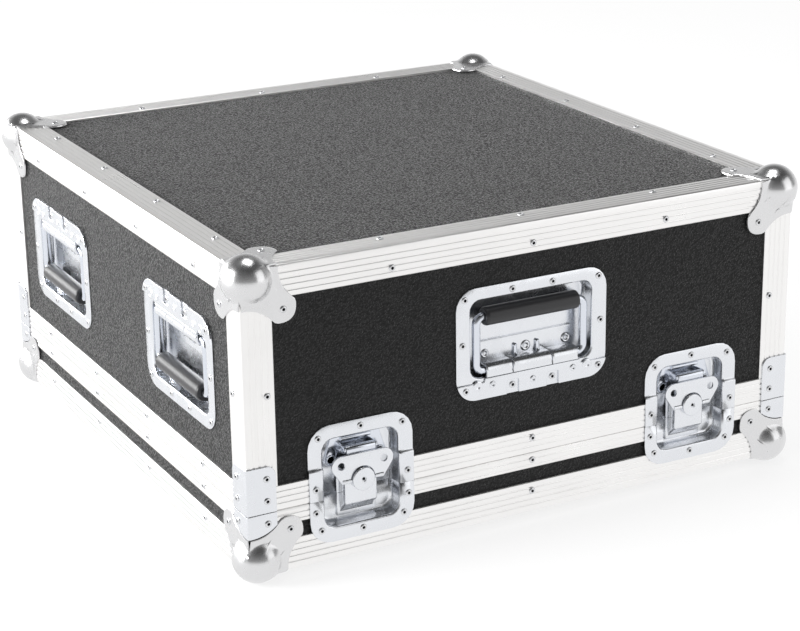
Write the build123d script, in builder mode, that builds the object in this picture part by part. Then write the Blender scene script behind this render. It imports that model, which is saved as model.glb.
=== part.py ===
from build123d import *
from math import cos, radians, sin
import os

# Transport case for a mixing desk: a deep hood that lifts off a shallow tray.
# Plywood panels are framed by ribbed aluminium angles, with a ball corner on each corner,
# four butterfly latches across the joint and five sprung bail handles sunk into the hood.
# Millimetres. X is the width, -Y the front and +Z up. The origin is under the middle of
# the case, on the ground that the bottom balls stand on.

# Sides that stand for a circle on rods, pins and small holes
ROUND_SIDES = 12

# Case
CASE_WIDTH = 580.0
CASE_DEPTH = 604.0
CASE_HEIGHT = 285.0
SPLIT_HEIGHT = 59.5
BALL_RADIUS = 22.5
BALL_INSET = 12.5
BALL_PROUD = BALL_RADIUS - BALL_INSET

# Panels and foam
PANEL = 9.0
FLOOR_FOAM = 17.0
ROOF_FOAM = 20.0
WALL_FOAM = 10.0
FOAM_GAP = 0.5

# Aluminium edge angle and the two rims that meet at the joint
EDGE_LEG = 30.0
EDGE_SHEET = 2.0
GROOVE_COUNT = 4
GROOVE_PITCH = 5.6
GROOVE_DEPTH = 0.5
RIM_CHANNEL = 9.2
RIM_INNER_SHEET = 1.5
TRAY_RIM_HEIGHT = 15.2
HOOD_RIM_HEIGHT = 23.4
RIM_INNER_LEG = 13.0
TONGUE_HEIGHT = 5.0
TONGUE_WIDTH = 3.4
TONGUE_GAP = 0.4
TONGUE_TAPER = 0.5

# Corner braces
BRACE_LEG = 27.5
BRACE_SHEET = 1.5
HOOD_BRACE_HEIGHT = 43.8
BRACE_GAP = 0.9
BRACE_CORNER = 9.0

# Ball corner plate: one lobe on each face, with hollow edges towards its neighbours
CORNER_SHEET = 1.5
CORNER_REACH = 36.5
LOBE_FAR = 52.0
LOBE_NEAR = 32.5
LOBE_CROWN = 48.5
HOLLOW_SAG = 4.5
NOTCH_START = 22.5
NOTCH_HALF = 2.0

# Pressed steel of every dish
DISH_SHEET = 1.2
DISH_DEPTH = 14.0
HIDDEN_CORNER = 0.55
HOLE_PLAY = 0.8

# Latch dish, in two halves that part at the joint
LATCH_OFFSET = 178.0
LATCH_HEIGHT = 73.3
LATCH_WIDTH = 105.0
LATCH_TALL = 112.0
LATCH_CORNER = 22.0
LATCH_OPEN_WIDTH = 75.0
LATCH_OPEN_TALL = 83.5
LATCH_OPEN_CORNER = 11.0
JOGGLE_START = 14.4
JOGGLE_RUN = 3.2
HALF_GAP = 0.3

# Latch works: base plate, cover, claw, spindle with its eccentric, and folding wing
BASE_FRONT = -12.0
BODY_LOW = 3.5
SEAT_STEP = 0.4
SEAT_LAP = 1.0
COVER_TOP = -1.5
COVER_SHEET = 1.4
COVER_HALF = 19.5
COVER_SIDE = 16.4
COVER_LOW = -23.0
COVER_HIGH = 9.0
CHANNEL_PLAY = 0.4
CLAW_BACK = -6.1
CLAW_SHEET = 1.7
CLAW_HALF = 14.4
CLAW_LOW = -16.0
CLAW_LIFT = 5.0
CRANK_DOWN = 5.5
WINDOW_PLAY = 1.5
CAM_RADIUS = 6.5
CAM_PLAY = 0.2
CAM_THROW = CLAW_LIFT / 2
SHAFT_RADIUS = 4.0
BEARING_PLAY = 0.1
HEAD_RADIUS = 11.0
HEAD_FRONT = 5.0
WING_AXIS_DEPTH = 1.8
WING_SHEET = 2.0
WING_PIN_RADIUS = 1.6
PIN_PLAY = 0.06
WING_EYE_RADIUS = 2.2
EYE_GAP = 0.2
EAR_RADIUS = 9.4
EAR_HOLE = 3.5
EAR_ACROSS = 21.3
EAR_UP = 15.5
NECK_HALF = 20.4
NECK_DOWN = 2.4
WING_CUTOUT = 12.0
KEEPER_SHEET = 1.6
KEEPER_BAR_UP = 28.0
KEEPER_BAR_DEPTH = -3.6
KEEPER_BAR_RADIUS = 1.8
HOOK_INNER = 2.2
HOOK_SHEET = 1.6
HOOK_ANGLE = 95.0
KEEPER_LOW = 24.0
KEEPER_HIGH = 39.8
KEEPER_HALF = 24.0
CHEEK_SHEET = 1.6
BEAD_UP = 36.0
BEAD_RADIUS = 1.6
BEAD_HALF = 15.0
LUG_ACROSS = 24.5
LUG_UP = 17.3
LUG_RADIUS = 6.2
LUG_HOLE = 3.2

# Handle
FRONT_HANDLE_HEIGHT = 177.0
SIDE_HANDLE_HEIGHT = 166.5
SIDE_HANDLE_OFFSET = 156.0
HANDLE_WIDTH = 160.0
HANDLE_TALL = 107.0
HANDLE_CORNER = 20.0
HANDLE_OPEN_WIDTH = 129.0
HANDLE_OPEN_TOP = 41.0
HANDLE_OPEN_BOTTOM = -33.0
HANDLE_OPEN_CORNER = 10.0
ROD_RADIUS = 4.0
BAIL_HALF = 57.0
BAIL_BEND = 7.0
BEND_CHORDS = 2
ROLL_CHORDS = 3
PIVOT_UP = -27.5
PIVOT_DEPTH = -3.2
GRIP_UP = 24.0
GRIP_RADIUS = 8.8
GRIP_LENGTH = 99.0
STUB_END = 22.0
STRAP_HALF = 49.0
STRAP_SHEET = 1.5
STRAP_TOP = 0.0
STRAP_LEAF_TOP = -37.5
STRAP_NOTCH_ACROSS = 21.3
STRAP_NOTCH_WIDTH = 13.0
STRAP_NOTCH_TALL = 13.5
ROD_PLAY = 0.4
SLOT_WIDTH = 4.4
SLOT_FRONT = -4.0
SPRING_WIRE = 1.5
SPRING_ACROSS = 11.9
SPRING_HALF = 18.0
SPRING_PLAY = 0.1
LEG_BEND_UP = -18.5
LEG_END_UP = -9.5

# Levels and half sizes that follow from the dimensions above
HALF_WIDTH = CASE_WIDTH / 2
HALF_DEPTH = CASE_DEPTH / 2
BASE_Z = BALL_PROUD
TOP_Z = BASE_Z + CASE_HEIGHT
SPLIT_Z = BASE_Z + SPLIT_HEIGHT
SKIN_HALF_WIDTH = HALF_WIDTH - EDGE_SHEET
SKIN_HALF_DEPTH = HALF_DEPTH - EDGE_SHEET
FLOOR_Z = BASE_Z + EDGE_SHEET
ROOF_Z = TOP_Z - EDGE_SHEET
RIM_DEPTH = EDGE_SHEET + RIM_CHANNEL + RIM_INNER_SHEET
GROOVE_SPAN = TONGUE_HEIGHT + TONGUE_GAP
HOOD_WEB = GROOVE_SPAN + EDGE_SHEET
LATCH_Z = BASE_Z + LATCH_HEIGHT
LATCH_SPLIT = SPLIT_HEIGHT - LATCH_HEIGHT
HANDLE_OPEN_TALL = HANDLE_OPEN_TOP - HANDLE_OPEN_BOTTOM
HANDLE_OPEN_MIDDLE = (HANDLE_OPEN_TOP + HANDLE_OPEN_BOTTOM) / 2

WIDE, DEEP = ("front", "back"), ("left", "right")
OUTWARD = {"front": (0, -1), "back": (0, 1), "left": (-1, 0), "right": (1, 0)}


def face_plane(side, along, height, sunk=0.0, turned=False):
    """Plane on an outer face of the case: x to the right, y up and z outward for someone facing it."""
    out_x, out_y = OUTWARD[side]
    reach_x, reach_y = HALF_WIDTH - sunk, HALF_DEPTH - sunk
    right_x, right_y = -out_y, out_x
    origin = (out_x * reach_x + right_x * along, out_y * reach_y + right_y * along, height)
    turn = -1 if turned else 1
    return Plane(origin=origin, x_dir=(turn * right_x, turn * right_y, 0), z_dir=(out_x, out_y, 0))


def border_plane(side, height, up=1):
    """Plane along one border of the case: x along it, y into the case, z up or down."""
    out_x, out_y = OUTWARD[side]
    inward = Vector(-out_x, -out_y, 0)
    z_dir = Vector(0, 0, up)
    return Plane(
        origin=(out_x * HALF_WIDTH, out_y * HALF_DEPTH, height),
        x_dir=inward.cross(z_dir),
        z_dir=z_dir,
    )


def spots(planes):
    """The places that a set of planes stands for."""
    return Locations(*[plane.location for plane in planes])


LATCH_PLANES = [
    face_plane(side, along, LATCH_Z)
    for side in ("front", "back")
    for along in (-LATCH_OFFSET, LATCH_OFFSET)
]
HANDLE_PLANES = [face_plane("front", 0, BASE_Z + FRONT_HANDLE_HEIGHT, sunk=EDGE_SHEET)] + [
    face_plane(side, along, BASE_Z + SIDE_HANDLE_HEIGHT, sunk=EDGE_SHEET, turned=True)
    for side in ("left", "right")
    for along in (-SIDE_HANDLE_OFFSET, SIDE_HANDLE_OFFSET)
]
SIDE_HANDLE_PLANES = {"front": HANDLE_PLANES[:1], "back": [], "left": HANDLE_PLANES[1:3],
                      "right": HANDLE_PLANES[3:]}
SIDE_LATCH_PLANES = {"front": LATCH_PLANES[:2], "back": LATCH_PLANES[2:], "left": [], "right": []}


def save(part, name):
    """Label a finished piece and write it under its name."""
    part.label = name
    export_step(part, f"parts/{name}.step")


def cut_dish_holes(side, play):
    """Take the room of the latch and handle dishes of one side out of the piece being made."""
    reach = DISH_SHEET + play
    for plane in SIDE_LATCH_PLANES[side]:
        with BuildSketch(plane) as hole:
            Rectangle(LATCH_OPEN_WIDTH + 2 * reach, LATCH_OPEN_TALL + 2 * reach)
        extrude(hole.sketch, amount=-3 * PANEL, mode=Mode.SUBTRACT)
    for plane in SIDE_HANDLE_PLANES[side]:
        with BuildSketch(plane) as hole:
            with Locations((0, HANDLE_OPEN_MIDDLE)):
                Rectangle(HANDLE_OPEN_WIDTH + 2 * reach, HANDLE_OPEN_TALL + 2 * reach)
        extrude(hole.sketch, amount=-3 * PANEL, mode=Mode.SUBTRACT)


# Panels

def wall(side, low, high, inset, thickness, play, end_gap=0.0):
    """Upright board behind one side, with its dish holes. Front and back boards run full width."""
    if side in WIDE:
        width = 2 * (SKIN_HALF_WIDTH - inset)
    else:
        width = 2 * (SKIN_HALF_DEPTH - inset - thickness - end_gap)
    with BuildPart() as board:
        with BuildSketch(face_plane(side, 0, (low + high) / 2, sunk=EDGE_SHEET + inset)):
            Rectangle(width, high - low)
        extrude(amount=-thickness)
        cut_dish_holes(side, play)
    return board.part


def flat_board(low, thickness, inset):
    """Level board that fills the case from side to side, less an inset."""
    with BuildPart() as board:
        with BuildSketch(Plane.XY.offset(low)):
            Rectangle(2 * (SKIN_HALF_WIDTH - inset), 2 * (SKIN_HALF_DEPTH - inset))
        extrude(amount=thickness)
    return board.part


# Aluminium frame

def angle_profile():
    """Ribbed angle in section: outer corner at the origin, legs along +x and +y."""
    with BuildSketch() as section:
        with BuildLine():
            Polyline((0, 0), (EDGE_LEG, 0), (EDGE_LEG, EDGE_SHEET), (EDGE_SHEET, EDGE_SHEET),
                     (EDGE_SHEET, EDGE_LEG), (0, EDGE_LEG), close=True)
        make_face()
        grooves = [EDGE_LEG - (n + 0.75) * GROOVE_PITCH for n in range(GROOVE_COUNT)]
        width = GROOVE_DEPTH * 2 ** 0.5
        with Locations(*[(g, 0) for g in grooves], *[(0, g) for g in grooves]):
            Rectangle(width, width, rotation=45, mode=Mode.SUBTRACT)
    return section.sketch


def tray_rim_profile():
    """Channel over the top of a tray wall, with the tongue that centres the hood."""
    leg = TRAY_RIM_HEIGHT
    inner = EDGE_SHEET + RIM_CHANNEL
    middle = EDGE_SHEET + PANEL / 2
    with BuildSketch() as section:
        with BuildLine():
            Polyline((0, -leg), (0, 0), (middle - TONGUE_WIDTH / 2, 0),
                     (middle - TONGUE_WIDTH / 2 + TONGUE_TAPER, TONGUE_HEIGHT),
                     (middle + TONGUE_WIDTH / 2 - TONGUE_TAPER, TONGUE_HEIGHT),
                     (middle + TONGUE_WIDTH / 2, 0), (RIM_DEPTH, 0),
                     (RIM_DEPTH, -RIM_INNER_LEG), (inner, -RIM_INNER_LEG),
                     (inner, -EDGE_SHEET), (EDGE_SHEET, -EDGE_SHEET), (EDGE_SHEET, -leg), close=True)
        make_face()
    return section.sketch


def hood_rim_profile():
    """Channel under the bottom of a hood wall, with the groove that takes the tongue."""
    leg = HOOD_RIM_HEIGHT
    inner = EDGE_SHEET + RIM_CHANNEL
    middle = EDGE_SHEET + PANEL / 2
    half = TONGUE_WIDTH / 2 + TONGUE_GAP
    with BuildSketch() as section:
        with BuildLine():
            Polyline((0, leg), (0, 0), (middle - half, 0), (middle - half, GROOVE_SPAN),
                     (middle + half, GROOVE_SPAN), (middle + half, 0), (RIM_DEPTH, 0),
                     (RIM_DEPTH, RIM_INNER_LEG + HOOD_WEB), (inner, RIM_INNER_LEG + HOOD_WEB),
                     (inner, HOOD_WEB), (EDGE_SHEET, HOOD_WEB), (EDGE_SHEET, leg), close=True)
        make_face()
    return section.sketch


def framing_bar(profile, length):
    """Bar along X with its section in the YZ plane and both ends mitred to meet its neighbours."""
    with BuildPart() as bar:
        with BuildSketch(Plane.YZ):
            add(profile)
        extrude(amount=length / 2, both=True)
        for end in (-1, 1):
            split(bisect_by=Plane(origin=(end * length / 2, 0, 0), z_dir=(end, 1, 0)),
                  keep=Keep.BOTTOM)
    return bar.part


def bar_pair(profile, sides, height, up=1, notched=False):
    """The same bar on two opposite sides, opened where latch dishes pass through it."""
    length = CASE_WIDTH if "front" in sides else CASE_DEPTH
    master = framing_bar(profile, length)
    with BuildPart() as pair:
        with spots([border_plane(side, height, up) for side in sides]):
            add(master)
        if notched:
            for side in sides:
                cut_dish_holes(side, HOLE_PLAY)
    return pair.part


# Corners

def quarter_places(height, up=1):
    """Planes at the four upright corners, x and y running along the two faces from the corner."""
    planes = []
    for sx, sy in ((-1, -1), (1, -1), (1, 1), (-1, 1)):
        x_dir = (-sx, 0, 0) if sx * sy * up > 0 else (0, -sy, 0)
        planes.append(Plane(origin=(sx * HALF_WIDTH, sy * HALF_DEPTH, height), x_dir=x_dir,
                            z_dir=(0, 0, up)))
    return planes


def corner_post():
    """Upright angle of a hood corner, between the rim and the top edges."""
    low = SPLIT_Z + HOOD_RIM_HEIGHT
    profile = angle_profile()
    with BuildPart() as post:
        with BuildSketch(Plane.XY):
            add(profile)
        extrude(amount=TOP_Z - EDGE_LEG - low)
    with BuildPart() as posts:
        with spots(quarter_places(low)):
            add(post.part)
    return posts.part


def corner_plate_outline(grow=0.0):
    """Outline of one face of a ball corner, measured from the case corner along both edges.

    Past the notch's start the faces part, so the press can fold them without a crease.
    """
    sheet = CORNER_SHEET
    reach, far, near, crown = (v + grow for v in (CORNER_REACH, LOBE_FAR, LOBE_NEAR, LOBE_CROWN))
    edge_to_lobe = Vector(far - reach, near)
    side = Vector(edge_to_lobe.Y, -edge_to_lobe.X).normalized()
    sag_point = Vector(reach, 0) + edge_to_lobe * 0.5 - side * HOLLOW_SAG
    with BuildSketch() as outline:
        with BuildLine():
            Polyline((NOTCH_HALF, reach), (-sheet, NOTCH_START), (-sheet, -sheet),
                     (NOTCH_START, -sheet), (reach, NOTCH_HALF))
            ThreePointArc((reach, NOTCH_HALF), (sag_point.X, sag_point.Y), (far, near))
            ThreePointArc((far, near), (crown, crown), (near, far))
            ThreePointArc((near, far), (sag_point.Y, sag_point.X), (NOTCH_HALF, reach))
        make_face()
    return outline.sketch


def ball_corner():
    """Pressed corner: three lobed plates folded round the case corner, and a ball over its point."""
    outline = corner_plate_outline()
    box = 2 * LOBE_FAR
    with BuildPart() as corner:
        for face in (Plane.XY, Plane.YZ, Plane.ZX):
            with BuildSketch(face):
                add(outline)
            extrude(amount=-CORNER_SHEET)
        with Locations((BALL_INSET, BALL_INSET, BALL_INSET)):
            Sphere(BALL_RADIUS)
        Box(box, box, box, align=(Align.MIN, Align.MIN, Align.MIN), mode=Mode.SUBTRACT)
    return corner.part


def ball_corners(height, up):
    """Four ball corners round the bottom or the top of the case."""
    master = ball_corner()
    with BuildPart() as balls:
        with spots(quarter_places(height, up)):
            add(master)
    return balls.part


def corner_braces(outline, height):
    """Angle plates with one outline on both legs, round the four upright corners."""
    with BuildPart() as brace:
        for face, amount in ((Plane.XZ, BRACE_SHEET), (Plane.YZ, -BRACE_SHEET)):
            with BuildSketch(face):
                add(outline)
            extrude(amount=amount)
    with BuildPart() as braces:
        with spots(quarter_places(height)):
            add(brace.part)
    return braces.part


def hood_brace_outline():
    """Leg of a hood brace: it holds the rim's mitre and the foot of the corner post."""
    with BuildSketch() as outline:
        with Locations((-BRACE_SHEET, 0)):
            Rectangle(BRACE_LEG + BRACE_SHEET, HOOD_BRACE_HEIGHT, align=(Align.MIN, Align.MIN))
        fillet(outline.vertices().group_by(Axis.X)[-1].sort_by(Axis.Y)[-1], radius=BRACE_CORNER)
    return outline.sketch


def tray_brace_outline():
    """Leg of a tray brace: it holds the rim's mitre and is hollowed to clear the ball corner."""
    foot = CORNER_REACH + BRACE_GAP
    cleared = corner_plate_outline(grow=BRACE_GAP)
    with BuildSketch() as outline:
        with Locations((-BRACE_SHEET, foot)):
            Rectangle(BRACE_LEG + BRACE_SHEET, SPLIT_HEIGHT - HALF_GAP - foot,
                      align=(Align.MIN, Align.MIN))
        add(cleared, mode=Mode.SUBTRACT)
    return outline.sketch


# Dishes

def recess(open_width, open_tall, corner, middle=0.0):
    """Pressed recess behind a flange: its outside, and the room in it that opens to the front."""
    with BuildPart() as outside:
        with BuildSketch(Plane.XY.offset(DISH_SHEET)) as back:
            with Locations((0, middle)):
                Rectangle(open_width + 2 * DISH_SHEET, open_tall + 2 * DISH_SHEET)
            chamfer(back.vertices(), length=corner * HIDDEN_CORNER)
        extrude(amount=-(DISH_DEPTH + 2 * DISH_SHEET))
    with BuildPart() as room:
        with BuildSketch(Plane.XY.offset(DISH_SHEET)):
            with Locations((0, middle)):
                RectangleRounded(open_width, open_tall, corner)
        extrude(amount=-(DISH_DEPTH + DISH_SHEET))
    return outside.part, room.part


def latch_dish():
    """Whole latch dish: its flange steps back from the rim's face to the panel's above the rim."""
    half = LATCH_TALL / 2
    end = JOGGLE_START + JOGGLE_RUN
    low_front = DISH_SHEET - EDGE_SHEET
    outside, room = recess(LATCH_OPEN_WIDTH, LATCH_OPEN_TALL, LATCH_OPEN_CORNER)
    with BuildPart() as dish:
        with BuildSketch(Plane.YZ):
            with BuildLine():
                Polyline((-half, 0), (JOGGLE_START, 0), (end, -EDGE_SHEET), (half, -EDGE_SHEET),
                         (half, low_front), (end, low_front), (JOGGLE_START, DISH_SHEET),
                         (-half, DISH_SHEET), close=True)
            make_face()
        extrude(amount=LATCH_WIDTH / 2, both=True)
        with BuildSketch(Plane.XY):
            RectangleRounded(LATCH_WIDTH, LATCH_TALL, LATCH_CORNER)
        extrude(amount=DISH_DEPTH, both=True, mode=Mode.INTERSECT)
        add(outside)
        with BuildSketch(Plane.YZ):
            with BuildLine():
                Polyline((JOGGLE_START, DISH_SHEET), (end, low_front), (LATCH_TALL, low_front),
                         (LATCH_TALL, DISH_DEPTH), (JOGGLE_START, DISH_DEPTH), close=True)
            make_face()
        extrude(amount=LATCH_WIDTH, both=True, mode=Mode.SUBTRACT)
        add(room, mode=Mode.SUBTRACT)
    return dish.part


def latch_dish_halves(dish, keep, gap_side):
    """One half of every latch dish, parted at the joint between tray and hood."""
    cut = Plane(origin=(0, LATCH_SPLIT + gap_side * HALF_GAP / 2, 0), z_dir=(0, 1, 0))
    with BuildPart() as half:
        add(dish)
        split(bisect_by=cut, keep=keep)
    return at_latches(half.part)


def at_latches(piece):
    """The same piece in all four latches."""
    with BuildPart() as group:
        with spots(LATCH_PLANES):
            add(piece)
    return group.part


def at_handles(piece):
    """The same piece in all five handles."""
    with BuildPart() as group:
        with spots(HANDLE_PLANES):
            add(piece)
    return group.part


def handle_dish():
    """Handle dish, with a flat flange on the panel's face."""
    outside, room = recess(HANDLE_OPEN_WIDTH, HANDLE_OPEN_TALL, HANDLE_OPEN_CORNER,
                           HANDLE_OPEN_MIDDLE)
    with BuildPart() as dish:
        with BuildSketch(Plane.XY):
            RectangleRounded(HANDLE_WIDTH, HANDLE_TALL, HANDLE_CORNER)
        extrude(amount=DISH_SHEET)
        add(outside)
        add(room, mode=Mode.SUBTRACT)
    return dish.part


# Butterfly latch. Its own frame: x right, y up from the spindle, z out from the case's face.

def latch_body():
    """Base plate on the tray's half dish, with the raised cover that guides claw and spindle."""
    low = BODY_LOW - LATCH_OPEN_TALL / 2
    seat_end = LATCH_SPLIT - SEAT_LAP
    seat = -DISH_DEPTH + SEAT_STEP
    cover_foot = COVER_LOW - (COVER_TOP - BASE_FRONT)
    channel_top = COVER_TOP - COVER_SHEET
    channel = 2 * (CLAW_HALF + CHANNEL_PLAY)
    with BuildPart() as body:
        with BuildSketch(Plane.YZ):
            with BuildLine():
                Polyline((low, -DISH_DEPTH), (seat_end, -DISH_DEPTH), (seat_end, seat),
                         (COVER_HIGH, seat), (COVER_HIGH, BASE_FRONT), (low, BASE_FRONT), close=True)
            make_face()
        extrude(amount=COVER_HALF, both=True)
        with BuildSketch(Plane.YZ):
            with BuildLine():
                Polyline((cover_foot, BASE_FRONT), (COVER_LOW, COVER_TOP), (COVER_HIGH, COVER_TOP),
                         (COVER_HIGH, BASE_FRONT), close=True)
            make_face()
        extrude(amount=COVER_SIDE, both=True)
        with BuildSketch(Plane.YZ):
            with Locations((COVER_LOW, BASE_FRONT)):
                Rectangle(COVER_HIGH - COVER_LOW, channel_top - BASE_FRONT,
                          align=(Align.MIN, Align.MIN))
        extrude(amount=channel / 2, both=True, mode=Mode.SUBTRACT)
        with BuildSketch(Plane.XY.offset(COVER_TOP)):
            RegularPolygon(SHAFT_RADIUS + BEARING_PLAY, ROUND_SIDES, major_radius=False)
        extrude(amount=-DISH_DEPTH, mode=Mode.SUBTRACT)
    return body.part


def spindle():
    """Spindle: shaft, riveted head with a cross hole for the wing's pin, and eccentric."""
    foot = -DISH_DEPTH + SEAT_STEP + BEARING_PLAY
    neck = COVER_TOP + CAM_PLAY
    with BuildPart() as turned:
        with BuildSketch(Plane.XY.offset(foot)):
            RegularPolygon(SHAFT_RADIUS, ROUND_SIDES)
        extrude(amount=neck - foot)
        with BuildSketch(Plane.XY.offset(neck)):
            Circle(HEAD_RADIUS)
        extrude(amount=HEAD_FRONT - neck)
        with BuildSketch(Plane.XY.offset(CLAW_BACK - CAM_PLAY)):
            with Locations((0, -CAM_THROW)):
                RegularPolygon(CAM_RADIUS, ROUND_SIDES)
        extrude(amount=CLAW_SHEET + 2 * CAM_PLAY)
        with BuildSketch(Plane.YZ):
            with Locations((0, WING_AXIS_DEPTH)):
                Rectangle(2 * (WING_PIN_RADIUS + PIN_PLAY), 2 * (WING_PIN_RADIUS + PIN_PLAY))
        extrude(amount=2 * HEAD_RADIUS, both=True, mode=Mode.SUBTRACT)
    return turned.part


def wing():
    """Folding butterfly wing: two holed ears, a neck cut out round the head, and its hinge pin."""
    ears = [(-EAR_ACROSS, EAR_UP), (EAR_ACROSS, EAR_UP)]
    eye_length = NECK_HALF - WING_CUTOUT - EYE_GAP
    with BuildPart() as plate:
        with BuildSketch(Plane.XY.offset(WING_AXIS_DEPTH - WING_SHEET / 2)):
            with Locations(*ears):
                RegularPolygon(EAR_RADIUS, 2 * ROUND_SIDES)
            Rectangle(2 * NECK_HALF, 2 * NECK_DOWN)
            make_hull()
            with Locations(*ears):
                RegularPolygon(EAR_HOLE, ROUND_SIDES, mode=Mode.SUBTRACT)
            RegularPolygon(WING_CUTOUT, 2 * ROUND_SIDES, major_radius=False, mode=Mode.SUBTRACT)
        extrude(amount=WING_SHEET)
        for side in (-1, 1):
            with BuildSketch(Plane(origin=(side * NECK_HALF, 0, WING_AXIS_DEPTH),
                                   x_dir=(0, 1, 0), z_dir=(-side, 0, 0))):
                RegularPolygon(WING_EYE_RADIUS, ROUND_SIDES)
            extrude(amount=eye_length)
        with BuildSketch(Plane.YZ):
            with Locations((0, WING_AXIS_DEPTH)):
                Circle(WING_PIN_RADIUS)
        extrude(amount=NECK_HALF, both=True)
    return plate.part


def round_bar_point(radius, angle):
    """Point round the keeper's bar, as up and outward, with the angle from straight outward."""
    return (KEEPER_BAR_UP + radius * sin(radians(angle)),
            KEEPER_BAR_DEPTH + radius * cos(radians(angle)))


def claw():
    """Sliding claw: a plate with a window for the eccentric, cranked out to a hook over the bar."""
    front = CLAW_BACK + CLAW_SHEET
    outer = HOOK_INNER + HOOK_SHEET
    hook_back = KEEPER_BAR_DEPTH + HOOK_INNER
    hook_front = KEEPER_BAR_DEPTH + outer
    crank = KEEPER_BAR_UP - CRANK_DOWN
    rise = hook_back - CLAW_BACK
    with BuildPart() as piece:
        with BuildSketch(Plane.YZ):
            with BuildLine():
                Polyline((KEEPER_BAR_UP, hook_front), (crank, hook_front), (crank - rise, front),
                         (CLAW_LOW, front), (CLAW_LOW, CLAW_BACK), (crank - rise, CLAW_BACK),
                         (crank, hook_back), (KEEPER_BAR_UP, hook_back))
                ThreePointArc(round_bar_point(HOOK_INNER, 0),
                              round_bar_point(HOOK_INNER, HOOK_ANGLE / 2),
                              round_bar_point(HOOK_INNER, HOOK_ANGLE))
                Line(round_bar_point(HOOK_INNER, HOOK_ANGLE), round_bar_point(outer, HOOK_ANGLE))
                ThreePointArc(round_bar_point(outer, HOOK_ANGLE),
                              round_bar_point(outer, HOOK_ANGLE / 2),
                              round_bar_point(outer, 0))
            make_face()
        extrude(amount=CLAW_HALF, both=True)
        with BuildSketch(Plane.XY):
            with Locations((0, -CAM_THROW)):
                Rectangle(2 * (CAM_RADIUS + CAM_THROW) + WINDOW_PLAY, 2 * CAM_RADIUS + WINDOW_PLAY)
        extrude(amount=-DISH_DEPTH, mode=Mode.SUBTRACT)
    return piece.part


def keeper():
    """Keeper on the hood's half dish: plate with two holed lugs, and a bar between two cheeks."""
    lugs = [(-LUG_ACROSS, LUG_UP), (LUG_ACROSS, LUG_UP)]
    plate_front = -DISH_DEPTH + KEEPER_SHEET
    cheek = KEEPER_BAR_RADIUS + CHEEK_SHEET
    cheek_inside = CLAW_HALF + CHANNEL_PLAY
    with BuildPart() as piece:
        with BuildSketch(Plane.XY.offset(-DISH_DEPTH)):
            with Locations(*lugs):
                Circle(LUG_RADIUS)
            with Locations((0, KEEPER_HIGH)):
                Rectangle(2 * KEEPER_HALF, LUG_RADIUS, align=(Align.CENTER, Align.MAX))
            make_hull()
            with Locations((0, KEEPER_LOW)):
                Rectangle(2 * (LUG_ACROSS - LUG_RADIUS), KEEPER_LOW, align=(Align.CENTER, Align.MAX),
                          mode=Mode.SUBTRACT)
            with Locations(*lugs):
                RegularPolygon(LUG_HOLE, ROUND_SIDES, mode=Mode.SUBTRACT)
        extrude(amount=KEEPER_SHEET)
        for side in (-1, 1):
            with BuildSketch(Plane(origin=(side * cheek_inside, 0, 0), x_dir=(0, 1, 0),
                                   z_dir=(1, 0, 0))):
                with BuildLine():
                    top = KEEPER_BAR_DEPTH + cheek
                    Polyline((KEEPER_BAR_UP - cheek, plate_front), (KEEPER_BAR_UP - cheek, top - cheek),
                             (KEEPER_BAR_UP - cheek / 2, top), (KEEPER_BAR_UP + cheek / 2, top),
                             (KEEPER_BAR_UP + cheek, top - cheek), (KEEPER_BAR_UP + cheek, plate_front),
                             close=True)
                make_face()
            extrude(amount=side * CHEEK_SHEET)
        with BuildSketch(Plane.YZ):
            with Locations((KEEPER_BAR_UP, KEEPER_BAR_DEPTH)):
                RegularPolygon(KEEPER_BAR_RADIUS, ROUND_SIDES)
        extrude(amount=cheek_inside, both=True)
        with BuildSketch(Plane.YZ):
            with BuildLine():
                Polyline((BEAD_UP - BEAD_RADIUS, plate_front),
                         (BEAD_UP - BEAD_RADIUS / 2, plate_front + BEAD_RADIUS),
                         (BEAD_UP + BEAD_RADIUS / 2, plate_front + BEAD_RADIUS),
                         (BEAD_UP + BEAD_RADIUS, plate_front), close=True)
            make_face()
        extrude(amount=BEAD_HALF, both=True)
    return piece.part


# Sprung bail handle. Its own frame: x right, y up from the middle of the flange, z out from
# the panel's face. The side handles hang the other way up.

def round_pivot(radius):
    """Quarter of the strap's roll over the pivot, as chords from the front to the top."""
    angles = [90.0 * n / ROLL_CHORDS for n in range(ROLL_CHORDS + 1)]
    return [(PIVOT_UP + radius * sin(radians(a)), PIVOT_DEPTH + radius * cos(radians(a)))
            for a in angles]


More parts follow.
